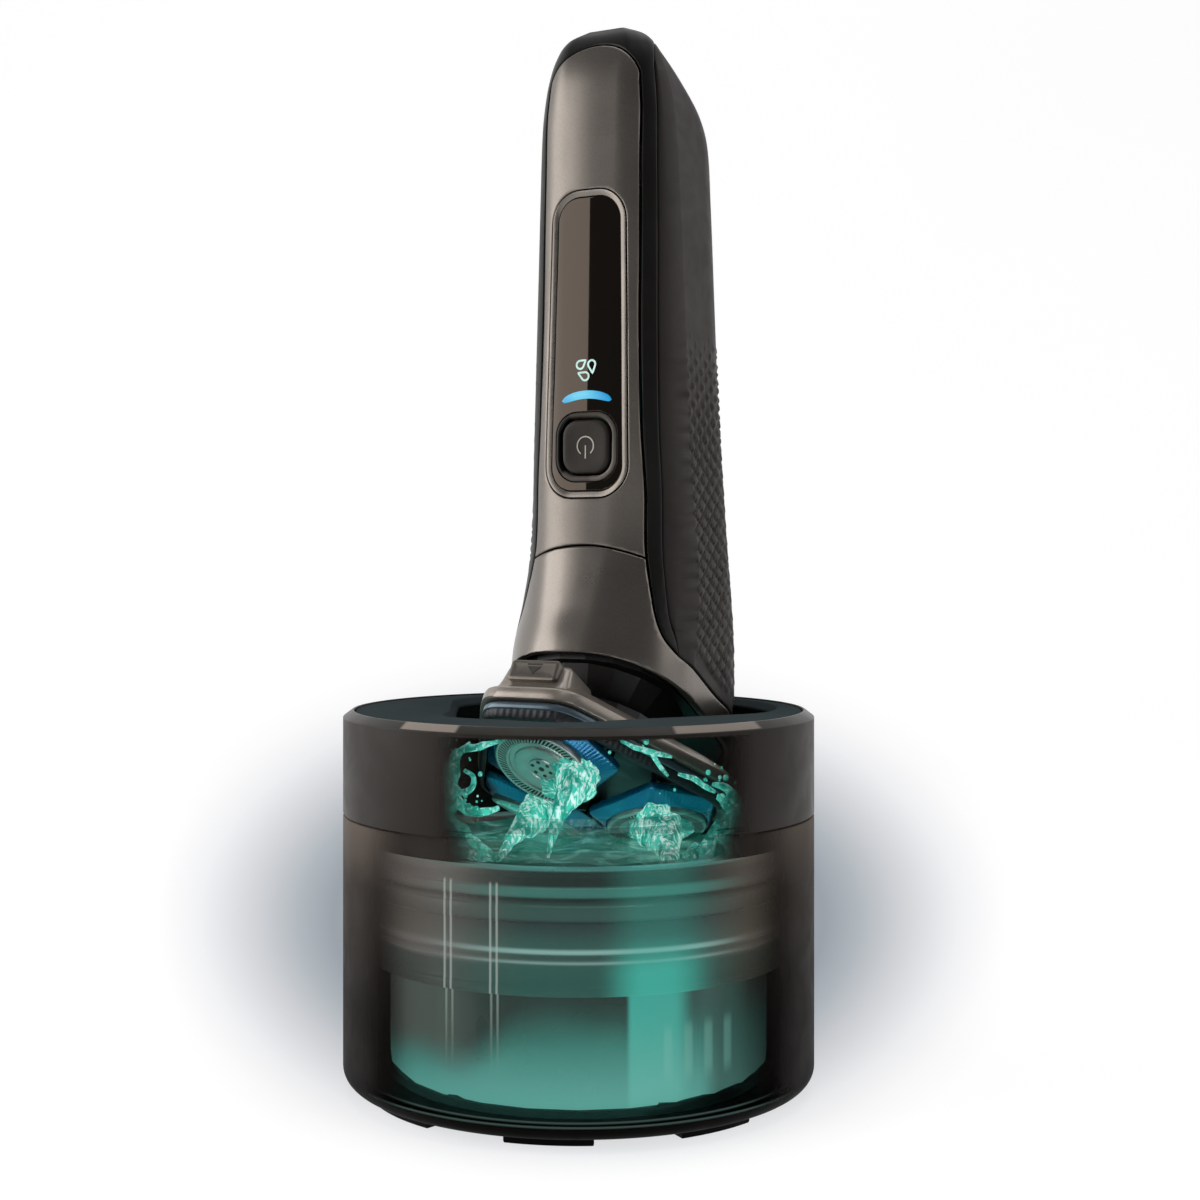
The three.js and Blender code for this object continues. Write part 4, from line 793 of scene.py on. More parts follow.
def normalsAlong(path, closed=True):
    # the unit normal at each point of a flat line, to the right of its run
    n = len(path)
    out = []
    for i in range(n):
        a = path[i - 1] if closed or i else path[0]
        b = path[(i + 1) % n] if closed or i < n - 1 else path[-1]
        length = math.dist(a, b) or 1.0
        out.append(((b[1] - a[1]) / length, -(b[0] - a[0]) / length))
    return out


def offsetLine(path, grow, closed=True):
    return [(x + nx * grow, z + nz * grow) for (x, z), (nx, nz) in zip(path, normalsAlong(path, closed))]


print("display")
surround = [onFront(offsetLine(dense(displayOutline(0.0, 12)), g), d) for g, d in (
    (1.2, 1.45), (1.2, 0.06), (1.17, 0.02), (1.1, 0.03), (0.75, 0.13), (0.45, 0.23), (0.14, 0.34),
    (0.04, 0.42), (0.02, 0.64), (0.0, 1.4))]
piece("display_surround_ring", ringLoft(surround), silverTrim, "shaver", "silver_trim", "display_surround",
      16)


def buttonSquare(size, corner, n=8):
    h = size / 2 - corner
    return loopRound([(h, buttonZ + h), (-h, buttonZ + h), (-h, buttonZ - h), (h, buttonZ - h)], corner, n)


frameSize = displayValues["buttonSize"] + 2 * (0.25 + 1.2)
step, glassSpan, glassRise = 0.45, 9, (119, 182)
glassRows = [[(x, frontSkin(x, z) + displayValues["recess"], z) for x in np.linspace(-glassSpan, glassSpan,
    int(2 * glassSpan / step))]
             for z in np.linspace(*glassRise, int((glassRise[1] - glassRise[0]) / step))]
glassFields = [regionOf(displayOutline(-0.14), 0), outside(regionOf(buttonSquare(frameSize + 0.3, 4.8), 0))]
glass = shellPart(skinned(glassRows, False, False, False), glassFields, 0.12, 1.2)
piece("display_glass_plate", glass, displayGlass, "shaver", "black_gloss", "display_glass", 60)


def frameMaterial():
    # the black ring's chamfer has a painted reflection of the lamps all round but at its left and lower right
    m = material("frameGlass", (14, 12, 10), (0.2, 0.28), 0.0, 0.05, 0.0, Specular_IOR_Level=0.15)
    x, _, z = axes(shaderOf(m)[0])
    # painted reflection: lighter tones laid on by the angle round the button
    tinted(m, steps(turnOf(z - buttonZ, x), -180.0, 180.0, (
        -180, 8, 5, 3), (-138, 8, 5, 3), (-132, 108, 101, 95), (-84, 104, 97, 90), (-81, 122, 114, 107),
        (-40, 150, 143, 136),
        (10, 126, 119, 112), (48, 112, 105, 98), (92, 88, 80, 72), (118, 80, 73, 66), (123, 10, 8, 6),
        (179, 8, 5, 3)))
    return m


frameRings = [onFront(buttonSquare(frameSize + 2 * g, displayValues["buttonCorner"] + g, 10), d) for g, d in (
    (0, 1.8), (0, 0.42), (-0.12, 0.3), (-0.55, 0.24), (-0.85, 0.34), (-1.12, 0.75), (-1.2, 1.9))]
piece("button_frame_ring", ringLoft(frameRings), frameMaterial(), "shaver", "black_gloss", "button_frame")

buttonFront = float(stationAt(buttonZ)[0]) + 0.1
buttonRings = [[(x, buttonFront + d, z) for x, z in buttonSquare(s, min(c, s / 2 - 0.05), 10)] for s, c,
               d in (
    (11.0, 3.4, 3.4), (11.0, 3.4, 0.75), (10.9, 3.35, 0.42), (10.6, 3.25, 0.2), (10.1, 3.1, 0.08),
    (9.2, 2.8, 0.06), (7.4, 2.3, 0.13),
    (5.4, 1.8, 0.19), (3.2, 1.2, 0.23), (1.2, 0.5, 0.25))]
piece("power_button_cap", skinned(buttonRings), buttonBlack, "power_button", "black_gloss", "power_button")


def stroke(path, width, at, closed=False, thick=0.03):
    # a flat line of that width along a path of (x, z), laid where at(x, z) says
    n = len(path)
    left, right = offsetLine(path, -width / 2, closed), offsetLine(path, width / 2, closed)
    rings = [[(x, at(x, z) - low, z) for x, z in line] for line,
             low in ((left, thick), (right, thick), (right, 0), (left, 0))]
    points, faces = skinned(rings, False, False, closed, True)
    if not closed:
        faces += [(0, n, 2 * n, 3 * n), (n - 1, 4 * n - 1, 3 * n - 1, 2 * n - 1)]
    return points, faces


def glassAt(x, z):
    return frontSkin(x, z) + displayValues["recess"] - 0.01


def buttonAt(x, z):
    return buttonFront + 0.2 - 0.02 * math.hypot(x, z - buttonZ)


powerRing = [(1.9 * math.sin(rad(a)), buttonZ + 0.2 + 1.9 * math.cos(rad(a))) for a in range(-146, 147, 6)]
powerBar = [(0, 129.4), (0, 128.6), (0, 127.6), (0, 126.7)]
powerSign = joined(*[stroke(path, displayValues["powerLine"], buttonAt) for path in (powerRing, powerBar)])
piece("power_sign", powerSign, signPrint, "power_button", "silver_trim", sharp=35)


def dropPath(at, tip, radius=0.84, count=26):
    # a drop: a round body drawn out to a tip
    reach, lean = math.dist(at, tip), math.atan2(tip[1] - at[1], tip[0] - at[0])
    gap = math.acos(radius / reach)
    angles = [lean + gap + (2 * math.pi - 2 * gap) * i / count for i in range(count + 1)]
    return dense([tip] + [(at[0] + radius * math.cos(a), at[1] + radius * math.sin(a)) for a in angles], 0.22)


drops = []
for pair in (((-1.3, 1.04), (-0.02, 1.96)), ((1.4, 1.04), (1.62, -0.78)), ((-0.12, -1.36), (-1.76, -0.62))):
    at, tip = ((displayValues["signs"][0] + x, displayValues["signs"][1] + z) for x, z in pair)
    drops.append(stroke(dropPath(at, tip), displayValues["line"], glassAt, True))
piece("drop_sign", joined(*drops), signLit, "shaver", "light_blue", sharp=35)


def arcOutline(grow, half=5.9, thick=1.75, rise=1.25):
    lower, upper = [], []
    for t in (-1 + i / 12 for i in range(25)):
        bow = displayValues["arcZ"] + rise * (1 - t * t) - rise / 2
        swell = thick / 2 * math.sqrt(max(1 - t ** 6, 0))
        lower.append((t * (half + grow), bow - grow - swell))
        upper.append((t * (half + grow), bow + grow + swell))
    return lower + upper[-2:0:-1]


bar = skinned([onFront(arcOutline(g), d) for g, d in ((0, 1.4), (0, 0.52), (-0.08, 0.47))])
piece("light_arc_bar", bar, arcLit, "shaver", "light_blue", "light_arc", 50)

# shaving unit

unitTones = {"bezel": (158, 149, 140), "bezelWorn": (148, 139, 130), "release": (112, 106, 99),
             "band": (92, 111, 124),
             "bandWorn": (80, 97, 109),
             "rib": (38, 41, 46), "pod": (22, 136, 176), "podWorn": (14, 104, 150), "cap": (186, 192, 190),
             "steel": (120, 125, 128),
             "sign": (52, 48, 45)}
unitMatrix = Matrix.Translation((0, *unitMiddle)) @ Matrix.Rotation(rad(-unitTilt), 4, "X")
bezelMetal = material("bezelMetal", unitTones["bezel"], (0.3, 0.4), 0.6, 0.05, 0.015, unitTones["bezelWorn"],
                      flake=(5.0, 0.08), Coat_Weight=0.2, Coat_Roughness=0.25)
releaseMetal = material("releaseMetal", unitTones["release"], (0.3, 0.42), 0.7, 0.08, 0.02)
bandBlue = material("bandBlue", unitTones["band"], (0.28, 0.36), 0.4, 0.06, 0.012, unitTones["bandWorn"],
                    Coat_Weight=0.3,
                    Coat_Roughness=0.2)
bandRibs = material("bandRibs", unitTones["rib"], (0.4, 0.5), 0.3, 0.08, 0.012)
podBlue = material("podBlue", unitTones["pod"], (0.26, 0.36), 0.7, 0.08, 0.01, unitTones["podWorn"],
                   Coat_Weight=0.4, Coat_Roughness=0.12)
capSilver = material("capSilver", unitTones["cap"], (0.28, 0.38), 0.7, 0.3, 0.02, grain=7.0)
bladeSteel = material("bladeSteel", unitTones["steel"], (0.25, 0.4), 1.0, 0.3, 0.03, grain=12.0)
# dark print for the release sign, and painted shade for the hub's recesses
signDark = material("signDark", unitTones["sign"], (0.5, 0.6), 0.0, 0.2, 0.02)


def unitOutline(grow=0.0, count=240):
    sides = [side for i in range(3) for side in ((-90 + i * 120, 30.3), (-30 + i * 120, 23.6))]
    return sidedOutline(sides, 18, count, grow)


def unitPiece(name, part, look, stand=None, body="shaver", slot="bronze_lacquer", sharp=40,
              matrix=unitMatrix):
    piece(name, moved(part, matrix), look, body, slot, stand, sharp)


print("shaving unit")
bezelProfile = [(8.7, -0.55), (8.75, -0.2), (9.0, 0.0), (10.7, 0.0), (11.1, -0.12), (11.4, -0.45),
                (11.75, -1.0), (12.3, -1.5),
                (13.4, -3.1),
                (14.8, -5.6), (15.9, -7.9), (16.1, -8.6), (15.9, -9.4), (14.6, -9.2), (12.6, -5.2),
                (11.0, -2.6), (10.4, -2.0), (8.7, -1.9)]
unitPiece("unit_bezel_shell", ringLoft([atHeight(unitOutline(g), z) for z, g in bezelProfile]), bezelMetal,
          "unit_bezel")


def pedestal(half=8.1, front=-28.9, back=-16.8, corner=1.6):
    # narrows level by level: (height, inset) pairs
    rings = []
    for z, inset in ((11.3, -0.5), (12.2, 0.0), (13.6, 0.35), (16.2, 0.8), (16.9, 1.1), (17.3, 1.7)):
        c = max(corner - inset * 0.5, 0.2)
        w, y0, y1 = half - inset - c, front + inset + c, back - inset - c
        rings.append(atHeight(loopRound([(w, y1), (-w, y1), (-w, y0), (w, y0)], c, 8), z))
    return skinned(rings)


def releaseButton(front=-29.75, foot=12.95, width=11.1, height=4.5):
    rings = []
    for y, inset in ((2.9, 0), (0.45, 0), (0.14, 0.12), (0, 0.42), (0.05, 0.9), (0.12, 1.5)):
        c = max(0.9 - inset, 0.15)
        w, low, high = width / 2 - inset - c, inset + c, height - inset - c
        loop = loopRound([(w, high), (-w, high), (-w, low), (w, low)], c, 6)
        rings.append([(x, front + y, foot + z) for x, z in loop])
    return skinned(rings)


def releaseSign(y=-29.72, thick=0.4):
    # a bar and a triangle that points down the unit
    outlines = [(-1.7, 16.25), (-1.7, 16.6), (1.7, 16.6), (1.7, 16.25)], [(-1.6, 15.95), (1.6, 15.95),
        (0, 14.35)]
    return joined(*[skinned([[(x, y + d, z) for x, z in outline] for d in (0,
        thick)]) for outline in outlines])


unitPiece("release_pedestal", pedestal(), bezelMetal)
unitPiece("release_button_cap", releaseButton(), releaseMetal, "release_button", "release_button")
unitPiece("release_sign", releaseSign(), signDark, None, "release_button", sharp=35)

# (height, growth, depth of the ribs) round the chamber's band: fine upright ribs below, smooth above
bandLevels = {
    "ribs": ((4.98, -2.1, 0), (5.0, -1.2, 0.4), (5.25, -0.75, 1), (6.6, -0.45, 1), (6.85, -0.42, 0.3),
             (6.95, -0.7, 0), (6.95, -1.5, 0),
             (5.0, -2.1, 0)),
    "smooth": ((6.8, -0.6, 0), (6.86, -0.2, 0), (7.0, -0.05, 0), (7.9, 0.0, 0), (8.2, -0.12, 0),
               (8.36, -0.35, 0), (8.4, -0.6, 0),
               (8.4, -1.4, 0), (6.8, -1.5, 0)),
}


def ribbed(base, z, radiusAt, rib, every, depth, up=False):
    # a ring pushed in, or up, by ribs; radiusAt gives the new radius from the old
    ring = []
    for i, (x, y) in enumerate(base):
        r = math.hypot(x, y)
        wave = depth * rib * (0.5 - 0.5 * math.cos(2 * math.pi * i / every))
        k = (radiusAt(r) - (0 if up else wave)) / r
        ring.append((x * k, y * k, z + (wave if up else 0)))
    return ring


def chamberBand(levels):
    base = unitOutline(-0.8, 720)
    return ringLoft([ribbed(base, z, lambda r, g=grow: r + g, rib, 6, 0.14) for z, grow, rib in levels])


unitPiece("hair_chamber_band", chamberBand(bandLevels["smooth"]), bandBlue, "hair_chamber", slot="blue_band",
          sharp=50)
unitPiece("hair_chamber_ribs", chamberBand(bandLevels["ribs"]), bandRibs, slot="blue_band", sharp=50)


def headMatrix(angle):
    return unitMatrix @ Matrix.Rotation(rad(angle), 4,
                                        "Z") @ Matrix.Translation((16.7, 0, 0)) @ Matrix.Rotation(rad(-16),
                                        4, "Y")


def podPart(hole=10.25):
    # (height, share of the way from the hole to the outline, depth of the ribs)
    base = sidedOutline([(0, 11.6), (64, 12.7), (-64, 12.7), (143.2, 11.2), (-143.2, 11.2)], 22, 480)
    return ringLoft([ribbed(base, z, lambda r, s=share: hole + (r - hole) * s, rib, 5, 0.12, True) for z,
                     share, rib in (
        (1.25, 0.0, 0.0), (1.1, 0.06, 0.0), (1.15, 0.16, 0.0), (1.5, 0.3, 0.6), (2.7, 0.86, 1.0),
        (3.05, 0.97, 0.3),
        (3.3, 1.0, 0.0), (4.4, 1.0, 0.0), (4.55, 0.97, 0.0), (4.6, 0.2, 0.0), (4.6, 0.0, 0.0))])


def capPart(bars=72):
    # the cap's rim, its dished middle with turned rings and a raised hub, and the bars of the slotted track
    rim = turned(rounded([(9.35, 0.12), (9.5, 0.0), (9.85, 0.08), (10.0, 0.35), (10.0, 4.4), (9.35, 4.4),
                          (9.35, 1.1), (9.3, 0.9)], 0.08,
                         2), 144)
    disc = turned([(7.75, 0.9), (7.7, 0.15), (7.55, 0.02), (7.3, 0.0), (7.1, 0.12), (6.95, 0.5), (6.5, 0.62),
                   (6.0, 0.55), (5.8, 0.2),
                   (5.6, 0.1),
                   (4.6, 0.02), (3.5, 0.0), (3.3, 0.1), (3.15, 0.3), (2.8, 0.34), (2.65, 0.18), (2.5, 0.1),
                   (1.2, 0.08), (0.0, 0.08),
                   (0.0, 1.1), (7.75, 1.1)], 144)
    parts = [rim, disc]
    for i in range(bars):
        angles = [(r, 2 * math.pi * i / bars + skew + side * 0.42 * math.pi / bars) for r, skew, side in (
            (7.65, 0.0, -1), (7.65, 0.0, 1), (9.42, 0.075, 1), (9.42, 0.075, -1))]
        parts.append(skinned([[(r * math.cos(a), r * math.sin(a), z) for r, a in angles] for z in (0.06,
            0.85)]))
    return joined(*parts)


def hubRecessShade():
    # small recesses round the hub, drawn as dark plugs: painted shade in place of their depth
    rings = [arc(x, y, 0.42, 0, 360, 16, 0) for x,
             y in arc(0, 0, 1.95, 0, 360, 6, 0)] + [arc(0, 0, 0.6, 0, 360, 20, 0)]
    return joined(*[skinned([atHeight(ring, 0.04), atHeight(ring, 0.5)]) for ring in rings])


for i, angle in enumerate((-90, 30, 150), 1):
    head, turn = f"head_{i}", headMatrix(angle)
    unitPiece(f"head_pod_{i}_skirt", podPart(), podBlue, f"head_pod_{i}", head, "blue_band", 50, turn)
    unitPiece(f"shaving_cap_{i}_turned", capPart(), capSilver, f"shaving_cap_{i}", head, "silver_trim", 30,
              turn)
    # dark plugs are painted shade in the hub's recesses
    unitPiece(f"hub_recess_shade_{i}", hubRecessShade(), signDark, None, head, "silver_trim", 35, turn)

# cleaning pod materials

podTones = {"smoke": (52, 46, 42), "smokeLow": (30, 27, 25), "smokeFoot": (6, 5, 4), "rim": (58, 55, 50),
            "rimLight": (160, 149, 139),
            "line": (64, 82, 78), "plate": (76, 86, 89), "seal": (60, 66, 64), "foot": (10, 9, 8),
            "bowl": (40, 52, 50),
            "cup": (60, 72, 68),
            "fluid": (10, 22, 20), "lid": (30, 36, 34)}


def windowMask(tree, **inputs):
    return use(tree, window, **inputs)["Mask"]


def upperMaterial():
    # smoked plastic that turns clear in front
    m = material("upperSmoke", podTones["smoke"], (0.4, 0.5), 0.0, 0.03, 0.01, Specular_IOR_Level=0.12)
    tree, shader = shaderOf(m)
    mask = windowMask(tree, Facing=-55.5, Half=40.0, Feather=14.0, Bottom=49.0, Top=74.2, Soft=0.5)
    wire(shader, {"Alpha": share(mask, 1.0, 0.0)})
    return m


def lowerMaterial(openAlpha=0.05, lineZ=4.75):
    # smoked plastic with a clear part in front; painted shade makes it black at the foot and lighter towards the
    # top, and a pale line along its floor is a painted highlight
    m = material("lowerSmoke", podTones["smokeLow"], (0.5, 0.6), 0.0, 0.03, 0.01, Specular_IOR_Level=0.03)
    tree, shader = shaderOf(m)
    z = axes(tree)[2]
    mask = windowMask(tree, Facing=-60.0, Half=62.0, Feather=22.0, Bottom=4.2, Top=60.0, Soft=0.6)
    # painted shade and light: black at the foot, growing lighter towards the top
    tinted(m, steps(z, 2.0, 56.0, (2.6, *podTones["smokeFoot"]), (9, *podTones["smokeLow"]),
                    (20, 32, 29, 27), (28, 44, 40, 37),
                    (44, 70, 64, 59), (54.6, 118, 108, 100)))
    # painted highlight: a pale line along the floor that glows as emission
    floorHighlight = span(calc("ABSOLUTE", z - lineZ), 0.12, 0.4, 1.0, 0.0) * mask
    wire(shader, {"Alpha": calc("MAXIMUM", share(mask, 1.0, openAlpha), floorHighlight * 0.8)})
    lit(m, blend(floorHighlight, (0, 0, 0, 1), podTones["line"]))
    return m


def rimMaterial():
    # the bevelled rim: dark, with lighter stretches that are a painted reflection of a lamp
    m = material("rimBevel", podTones["rim"], (0.3, 0.36), 0.0, 0.04, 0.006, Specular_IOR_Level=0.1)
    x, y, z = axes(shaderOf(m)[0])
    turn = turnOf(y, x)
    # painted reflection: lighter stretches at fixed angles round the rim's top
    paintedReflections = within(turn, -105.2, -103.8, -89.0, -87.8) + within(turn, -38.7, -37.5, -15.0, -13.2)
    tinted(m, podTones["rimLight"], paintedReflections * span(z, 74.75, 74.9))
    return m


def clearPlastic(name, colour, alpha, edge=0.4):
    # thin clear moulding: mostly see-through, denser where its wall turns away
    m = material(name, colour, (0.08, 0.14), 0.0, 0.05, 0.006, Specular_IOR_Level=0.3)
    tree, shader = shaderOf(m)
    wire(shader, {"Alpha": share(add(tree, "LayerWeight", {"Blend": 0.28}, "Facing"), alpha, edge)})
    return m


def buildGlow(tree, ins):
    # painted light on the fluid: a painted pool of light low down, the painted beam of the falling stream, and
    # painted highlights on the filter's fins and the pipes' edges
    u, w, z = frontWays(tree)
    high = z + (noiseAt(tree, place(tree), 0.06, 2.0) - 0.5) * 7.0
    fall = span(high - span(u, -24.0, -9.0, 12.0, 21.0), -5.5, 5.5, 1.0, 0.0)
    beats = calc("SINE", (u - 15.6) * (2 * math.pi / 3.9))
    fins = span(beats, -0.2, 0.8) * within(u, 14.0, 15.0, 28.0, 31.0) * within(z, 8.0, 12.0, 18.0, 21.0)
    lines = [span(calc("ABSOLUTE", u - at), 0.08, 0.32, 1.0, 0.0) for at in (-24.9, -23.7, -16.2, -15.0)]
    pipes = calc("MAXIMUM", calc("MAXIMUM", lines[0], lines[1]), calc("MAXIMUM", lines[2], lines[3]))
    parts = {
        "Pool": fall * span(u, 22.0, 27.0, 1.0, 0.25),
        "Beam": within(u, 8.6, 9.8, 17.5, 22.0),
        "Fins": fins,
        "Pipes": pipes * (span(z, 8.0, 29.0, 0.0, 0.9) * span(z, 46.6, 47.4, 1.0, 0.0)),
    }
    front = span(w, -4.0, 10.0)
    return {name: value * front for name, value in parts.items()}


glow = group("fluidGlow", {}, ("Pool", "Beam", "Fins", "Pipes"), buildGlow)


def fluidMaterial():
    # the fluid's colour is painted light drawn as emission: lighter at the sides across the front, a painted pool
    # of light and beam, and painted highlights on the fins and the pipes' edges
    m = material("cleaningFluid", podTones["fluid"], (0.12, 0.2), 0.0, 0.05, 0.006, Specular_IOR_Level=0.2)
    tree = shaderOf(m)[0]
    g = use(tree, glow)
    u, _, z = frontWays(tree)
    dark = steps(u, -40.0, 40.0, (-38, 84, 88, 83), (-33, 94, 102, 96), (-26, 84, 96, 90), (-18, 42, 60, 55),
                 (6, 38, 57, 52),
                 (20, 52, 76, 71), (24, 66, 94, 88), (29, 62, 86, 80), (33, 48, 52, 49), (38, 42, 42, 40))
    pool = steps(z, 4.0, 26.0, (5, 102, 178, 167), (8, 94, 168, 157), (11, 84, 157, 146), (17, 62, 130, 118),
                 (23, 50, 104, 95))
    stream = steps(z, 4.0, 54.0, (6, 108, 188, 176), (20, 74, 176, 161), (30, 62, 172, 157),
                   (50, 60, 168, 152))
    colour = blend(g["Beam"], blend(g["Pool"], dark, pool), stream)
    colour = blend(g["Fins"] * 0.32, colour, (130, 196, 182))
    lit(m, blend(g["Pipes"] * 0.55, colour, (170, 190, 182)))
    return m


def lidMaterial():
    # milky bands with clear plastic between them, teal in the middle and grey at the sides, all drawn as emission:
    # painted light with a painted teal beam, pale painted highlight lines and painted highlights on the pipes'
    # edges
    m = material("lidBands", podTones["lid"], (0.25, 0.35), 0.0, 0.05, 0.006, Specular_IOR_Level=0.2,
                 Alpha=0.86)
    tree = shaderOf(m)[0]
    u, _, z = frontWays(tree)
    centre = steps(z, 26.0, 51.0, (28.2, 42, 85, 77), (31.6, 42, 85, 77), (32.4, 46, 86, 78),
                   (32.9, 128, 158, 153), (33.3, 54, 84, 78),
                   (33.8, 48, 75, 69), (34.3, 54, 86, 80), (34.7, 134, 174, 168), (35.0, 134, 174, 168),
                   (35.5, 52, 88, 81),
                   (36.2, 50, 85, 78),
                   (40.3, 36, 50, 50), (40.9, 50, 80, 74), (43.2, 50, 80, 74), (43.7, 36, 60, 54),
                   (44.2, 25, 38, 36), (44.6, 30, 50, 46),
                   (45.0, 56, 111, 102), (46.3, 56, 111, 102), (46.9, 30, 45, 42), (49.4, 30, 45, 42),
                   (49.8, 72, 134, 128))
    sides = steps(z, 26.0, 51.0, (27, 70, 74, 70), (31.8, 78, 82, 78), (32.6, 112, 110, 106),
                  (33.7, 100, 97, 93), (34.8, 118, 115, 111),
                  (36, 100, 97, 91), (40.6, 92, 88, 83), (43, 102, 97, 93), (44.2, 80, 76, 72),
                  (45.2, 108, 103, 99), (48, 100, 95, 91),
                  (49.8, 112, 108, 103))
    # painted light: a beam of teal glow through the middle of the bands
    beam = within(u, 3.0, 12.0, 16.0, 27.0) * span(z, 30.0, 38.0, 1.0, 0.25)
    colour = blend(beam, centre, blend(0.8, centre, (66, 182, 165)))
    sides = blend(1.0, sides, (232, 232, 232), "MULTIPLY")
    colour = blend(span(u, -8.0, -31.0), colour, sides)
    colour = blend(span(u, 20.0, 33.0), colour, blend(1.0, sides, (222, 218, 210), "MULTIPLY"))
    lit(m, blend(use(tree, glow)["Pipes"] * 0.62, colour, (176, 184, 178)))
    return m


upperSmoke, lowerSmoke, rimBevel = upperMaterial(), lowerMaterial(), rimMaterial()
fluidLit, lidLit = fluidMaterial(), lidMaterial()
plateDark = material("plateDark", podTones["plate"], (0.4, 0.5), 0.0, 0.03, 0.01, Specular_IOR_Level=0.0)
footRubber = material("footRubber", podTones["foot"], (0.5, 0.6), 0.0, 0.05, 0.03, Specular_IOR_Level=0.05)
sealSilicone = material("sealSilicone", podTones["seal"], (0.5, 0.62), 0.0, 0.08, 0.03,
                        Specular_IOR_Level=0.2, Alpha=0.14)
clearBowl = clearPlastic("clearBowl", podTones["bowl"], 0.08)
clearCup = clearPlastic("clearCup", podTones["cup"], 0.05)

# cleaning pod forms, as (radius, height) pairs

print("cleaning pod")
podSides = 240
podRadius, podSeam = 47.5, 55.3


def podPiece(name, profile, look, body, slot="clear_plastic"):
    piece(name + "_turned", turned(profile, podSides), look, body, slot, name)


baseProfile = [(0.0, 1.8)] + arc(44.1, 5.2, 3.4, -90, 90, 10) + [
    (podRadius, 20), (podRadius, 35), (podRadius, 54.9), (47.35, 55.18), (47.0, podSeam), (45.5, podSeam),
    (45.3, 55.1), (45.3, 30),
    (45.3, 6.4),
    (44.3, 4.0), (41.9, 3.0), (0.0, 3.0)]
podPiece("base_housing", baseProfile, lowerSmoke, "pod_base", "housing_smoked")


def footParts(outer=42.8, inner=35.5, feet=8):
    parts = []
    for i in range(feet):
        rings = []
        for z, inset in ((1.9, 0.0), (0.5, 0.0), (0.12, 0.12), (0.0, 0.45)):
            start, turn = -78.75 + 45 * i + inset * 1.3, 22.5 - inset * 2.6
            there, back = (arc(0, 0, r, start, turn, 12) for r in (outer - inset, inner + inset))
            rings.append(atHeight(there + back[::-1], z))
        parts.append(skinned(rings))
    return joined(*parts)


piece("base_feet", footParts(), footRubber, "pod_base", "housing_smoked")

upperProfile = rounded([(43.6, 50.8), (45.0, 50.8), (45.0, 55.6), (podRadius, 55.6),
                        (podRadius, 74.65, 0.12), (45.7, 76.0, 0.12),
                        (45.3, 76.0),
                        (45.3, 73.8), (43.4, 73.8), (45.3, 71.1), (45.3, 56.4), (43.6, 56.4)], 0.15)
rimFoot, rimInside = 74.5, 45.35
upper = turned(upperProfile, podSides)
# the faces of the bevelled rim take the second material
faceLooks = [int(all(upper[0][i][2] > rimFoot and math.hypot(*upper[0][i][:2]) > rimInside for i in f))
             for f in upper[1]]
piece("upper_housing_turned", upper, [upperSmoke, rimBevel], "pod_top", "housing_smoked", "upper_housing",
      25, faceLooks)


def openingOutline(grow=0.0):
    # a closed curve through the corners of the opening for the shaver, spaced by the root of their distance
    half = [(0, -27.6 - grow), (12.4 + grow * 0.7, -26.4 - grow), ((12.4 + 34.3) / 2 - 3.4 + grow, -14.8),
            (34.3 - 6.2 + grow, -2.0),
            (34.3 + grow, 10.0), (31.7 + grow, 24.0), (22.8 + grow * 0.8, 34.8 + grow * 0.6),
            (34.3 / 3, 41.0 + grow)]
    pts = half + [(0, 42.2 + grow)] + [(-x, y) for x, y in reversed(half[1:])]
    curve = []
    for i in range(len(pts)):
        row = [Vector(pts[(i + k - 1) % len(pts)]) for k in range(4)]
        t = [0.0]
        for a, b in zip(row, row[1:]):
            t.append(t[-1] + (b - a).length ** 0.5)
        for k in range(16):
            s, line = t[1] + (t[2] - t[1]) * k / 16, row
            for wide, shift in ((1, 0), (2, 0), (1, 1)):
                # each round blends neighbours over the knots they span
                line = [line[j] * ((t[j + shift + wide] - s) / (t[j + shift + wide] - t[j + shift]))
                        + line[j + 1] * ((s - t[j + shift]) / (t[j + shift + wide] - t[j + shift]))
                        for j in range(len(line) - 1)]
            curve.append(tuple(line[0]))
    return curve


def resampled(curve, count):
    pts = np.array(curve + [curve[0]])
    at = np.concatenate([[0], np.cumsum(np.hypot(*(pts[1:] - pts[:-1]).T))])
    s = np.linspace(0, at[-1], count, endpoint=False)
    return list(zip(np.interp(s, at, pts[:, 0]), np.interp(s, at, pts[:, 1])))


def platePart(count=240):
    # the round top plate with its funnel-shaped opening, joined ray by ray
    angles = [math.atan2(y, x) for x, y in resampled(openingOutline(1.3), count)]
    rings = [[(r * math.cos(a), r * math.sin(a), z) for a in angles] for r,
             z in ((45.0, 74.1), (45.0, 75.6), (44.85, 75.75))]
    rings += [atHeight(resampled(openingOutline(grow), count), z) for grow, z in (
        (1.75, 75.75), (1.45, 75.68), (1.2, 75.45), (0.4, 74.85), (0.05, 74.5), (0.0, 74.15), (0.15, 74.1))]
    return ringLoft(rings)


piece("top_plate_plate", platePart(), plateDark, "pod_top", "top_dark", "top_plate", 35)


def bowlWall(radius, foot, shoulder=25.5, top=56.7):
    return [(shoulder + (radius - shoulder) * math.sin(rad(a)),
             foot + (top - foot) * (1 - math.cos(rad(a)))) for a in range(0, 91, 9)]


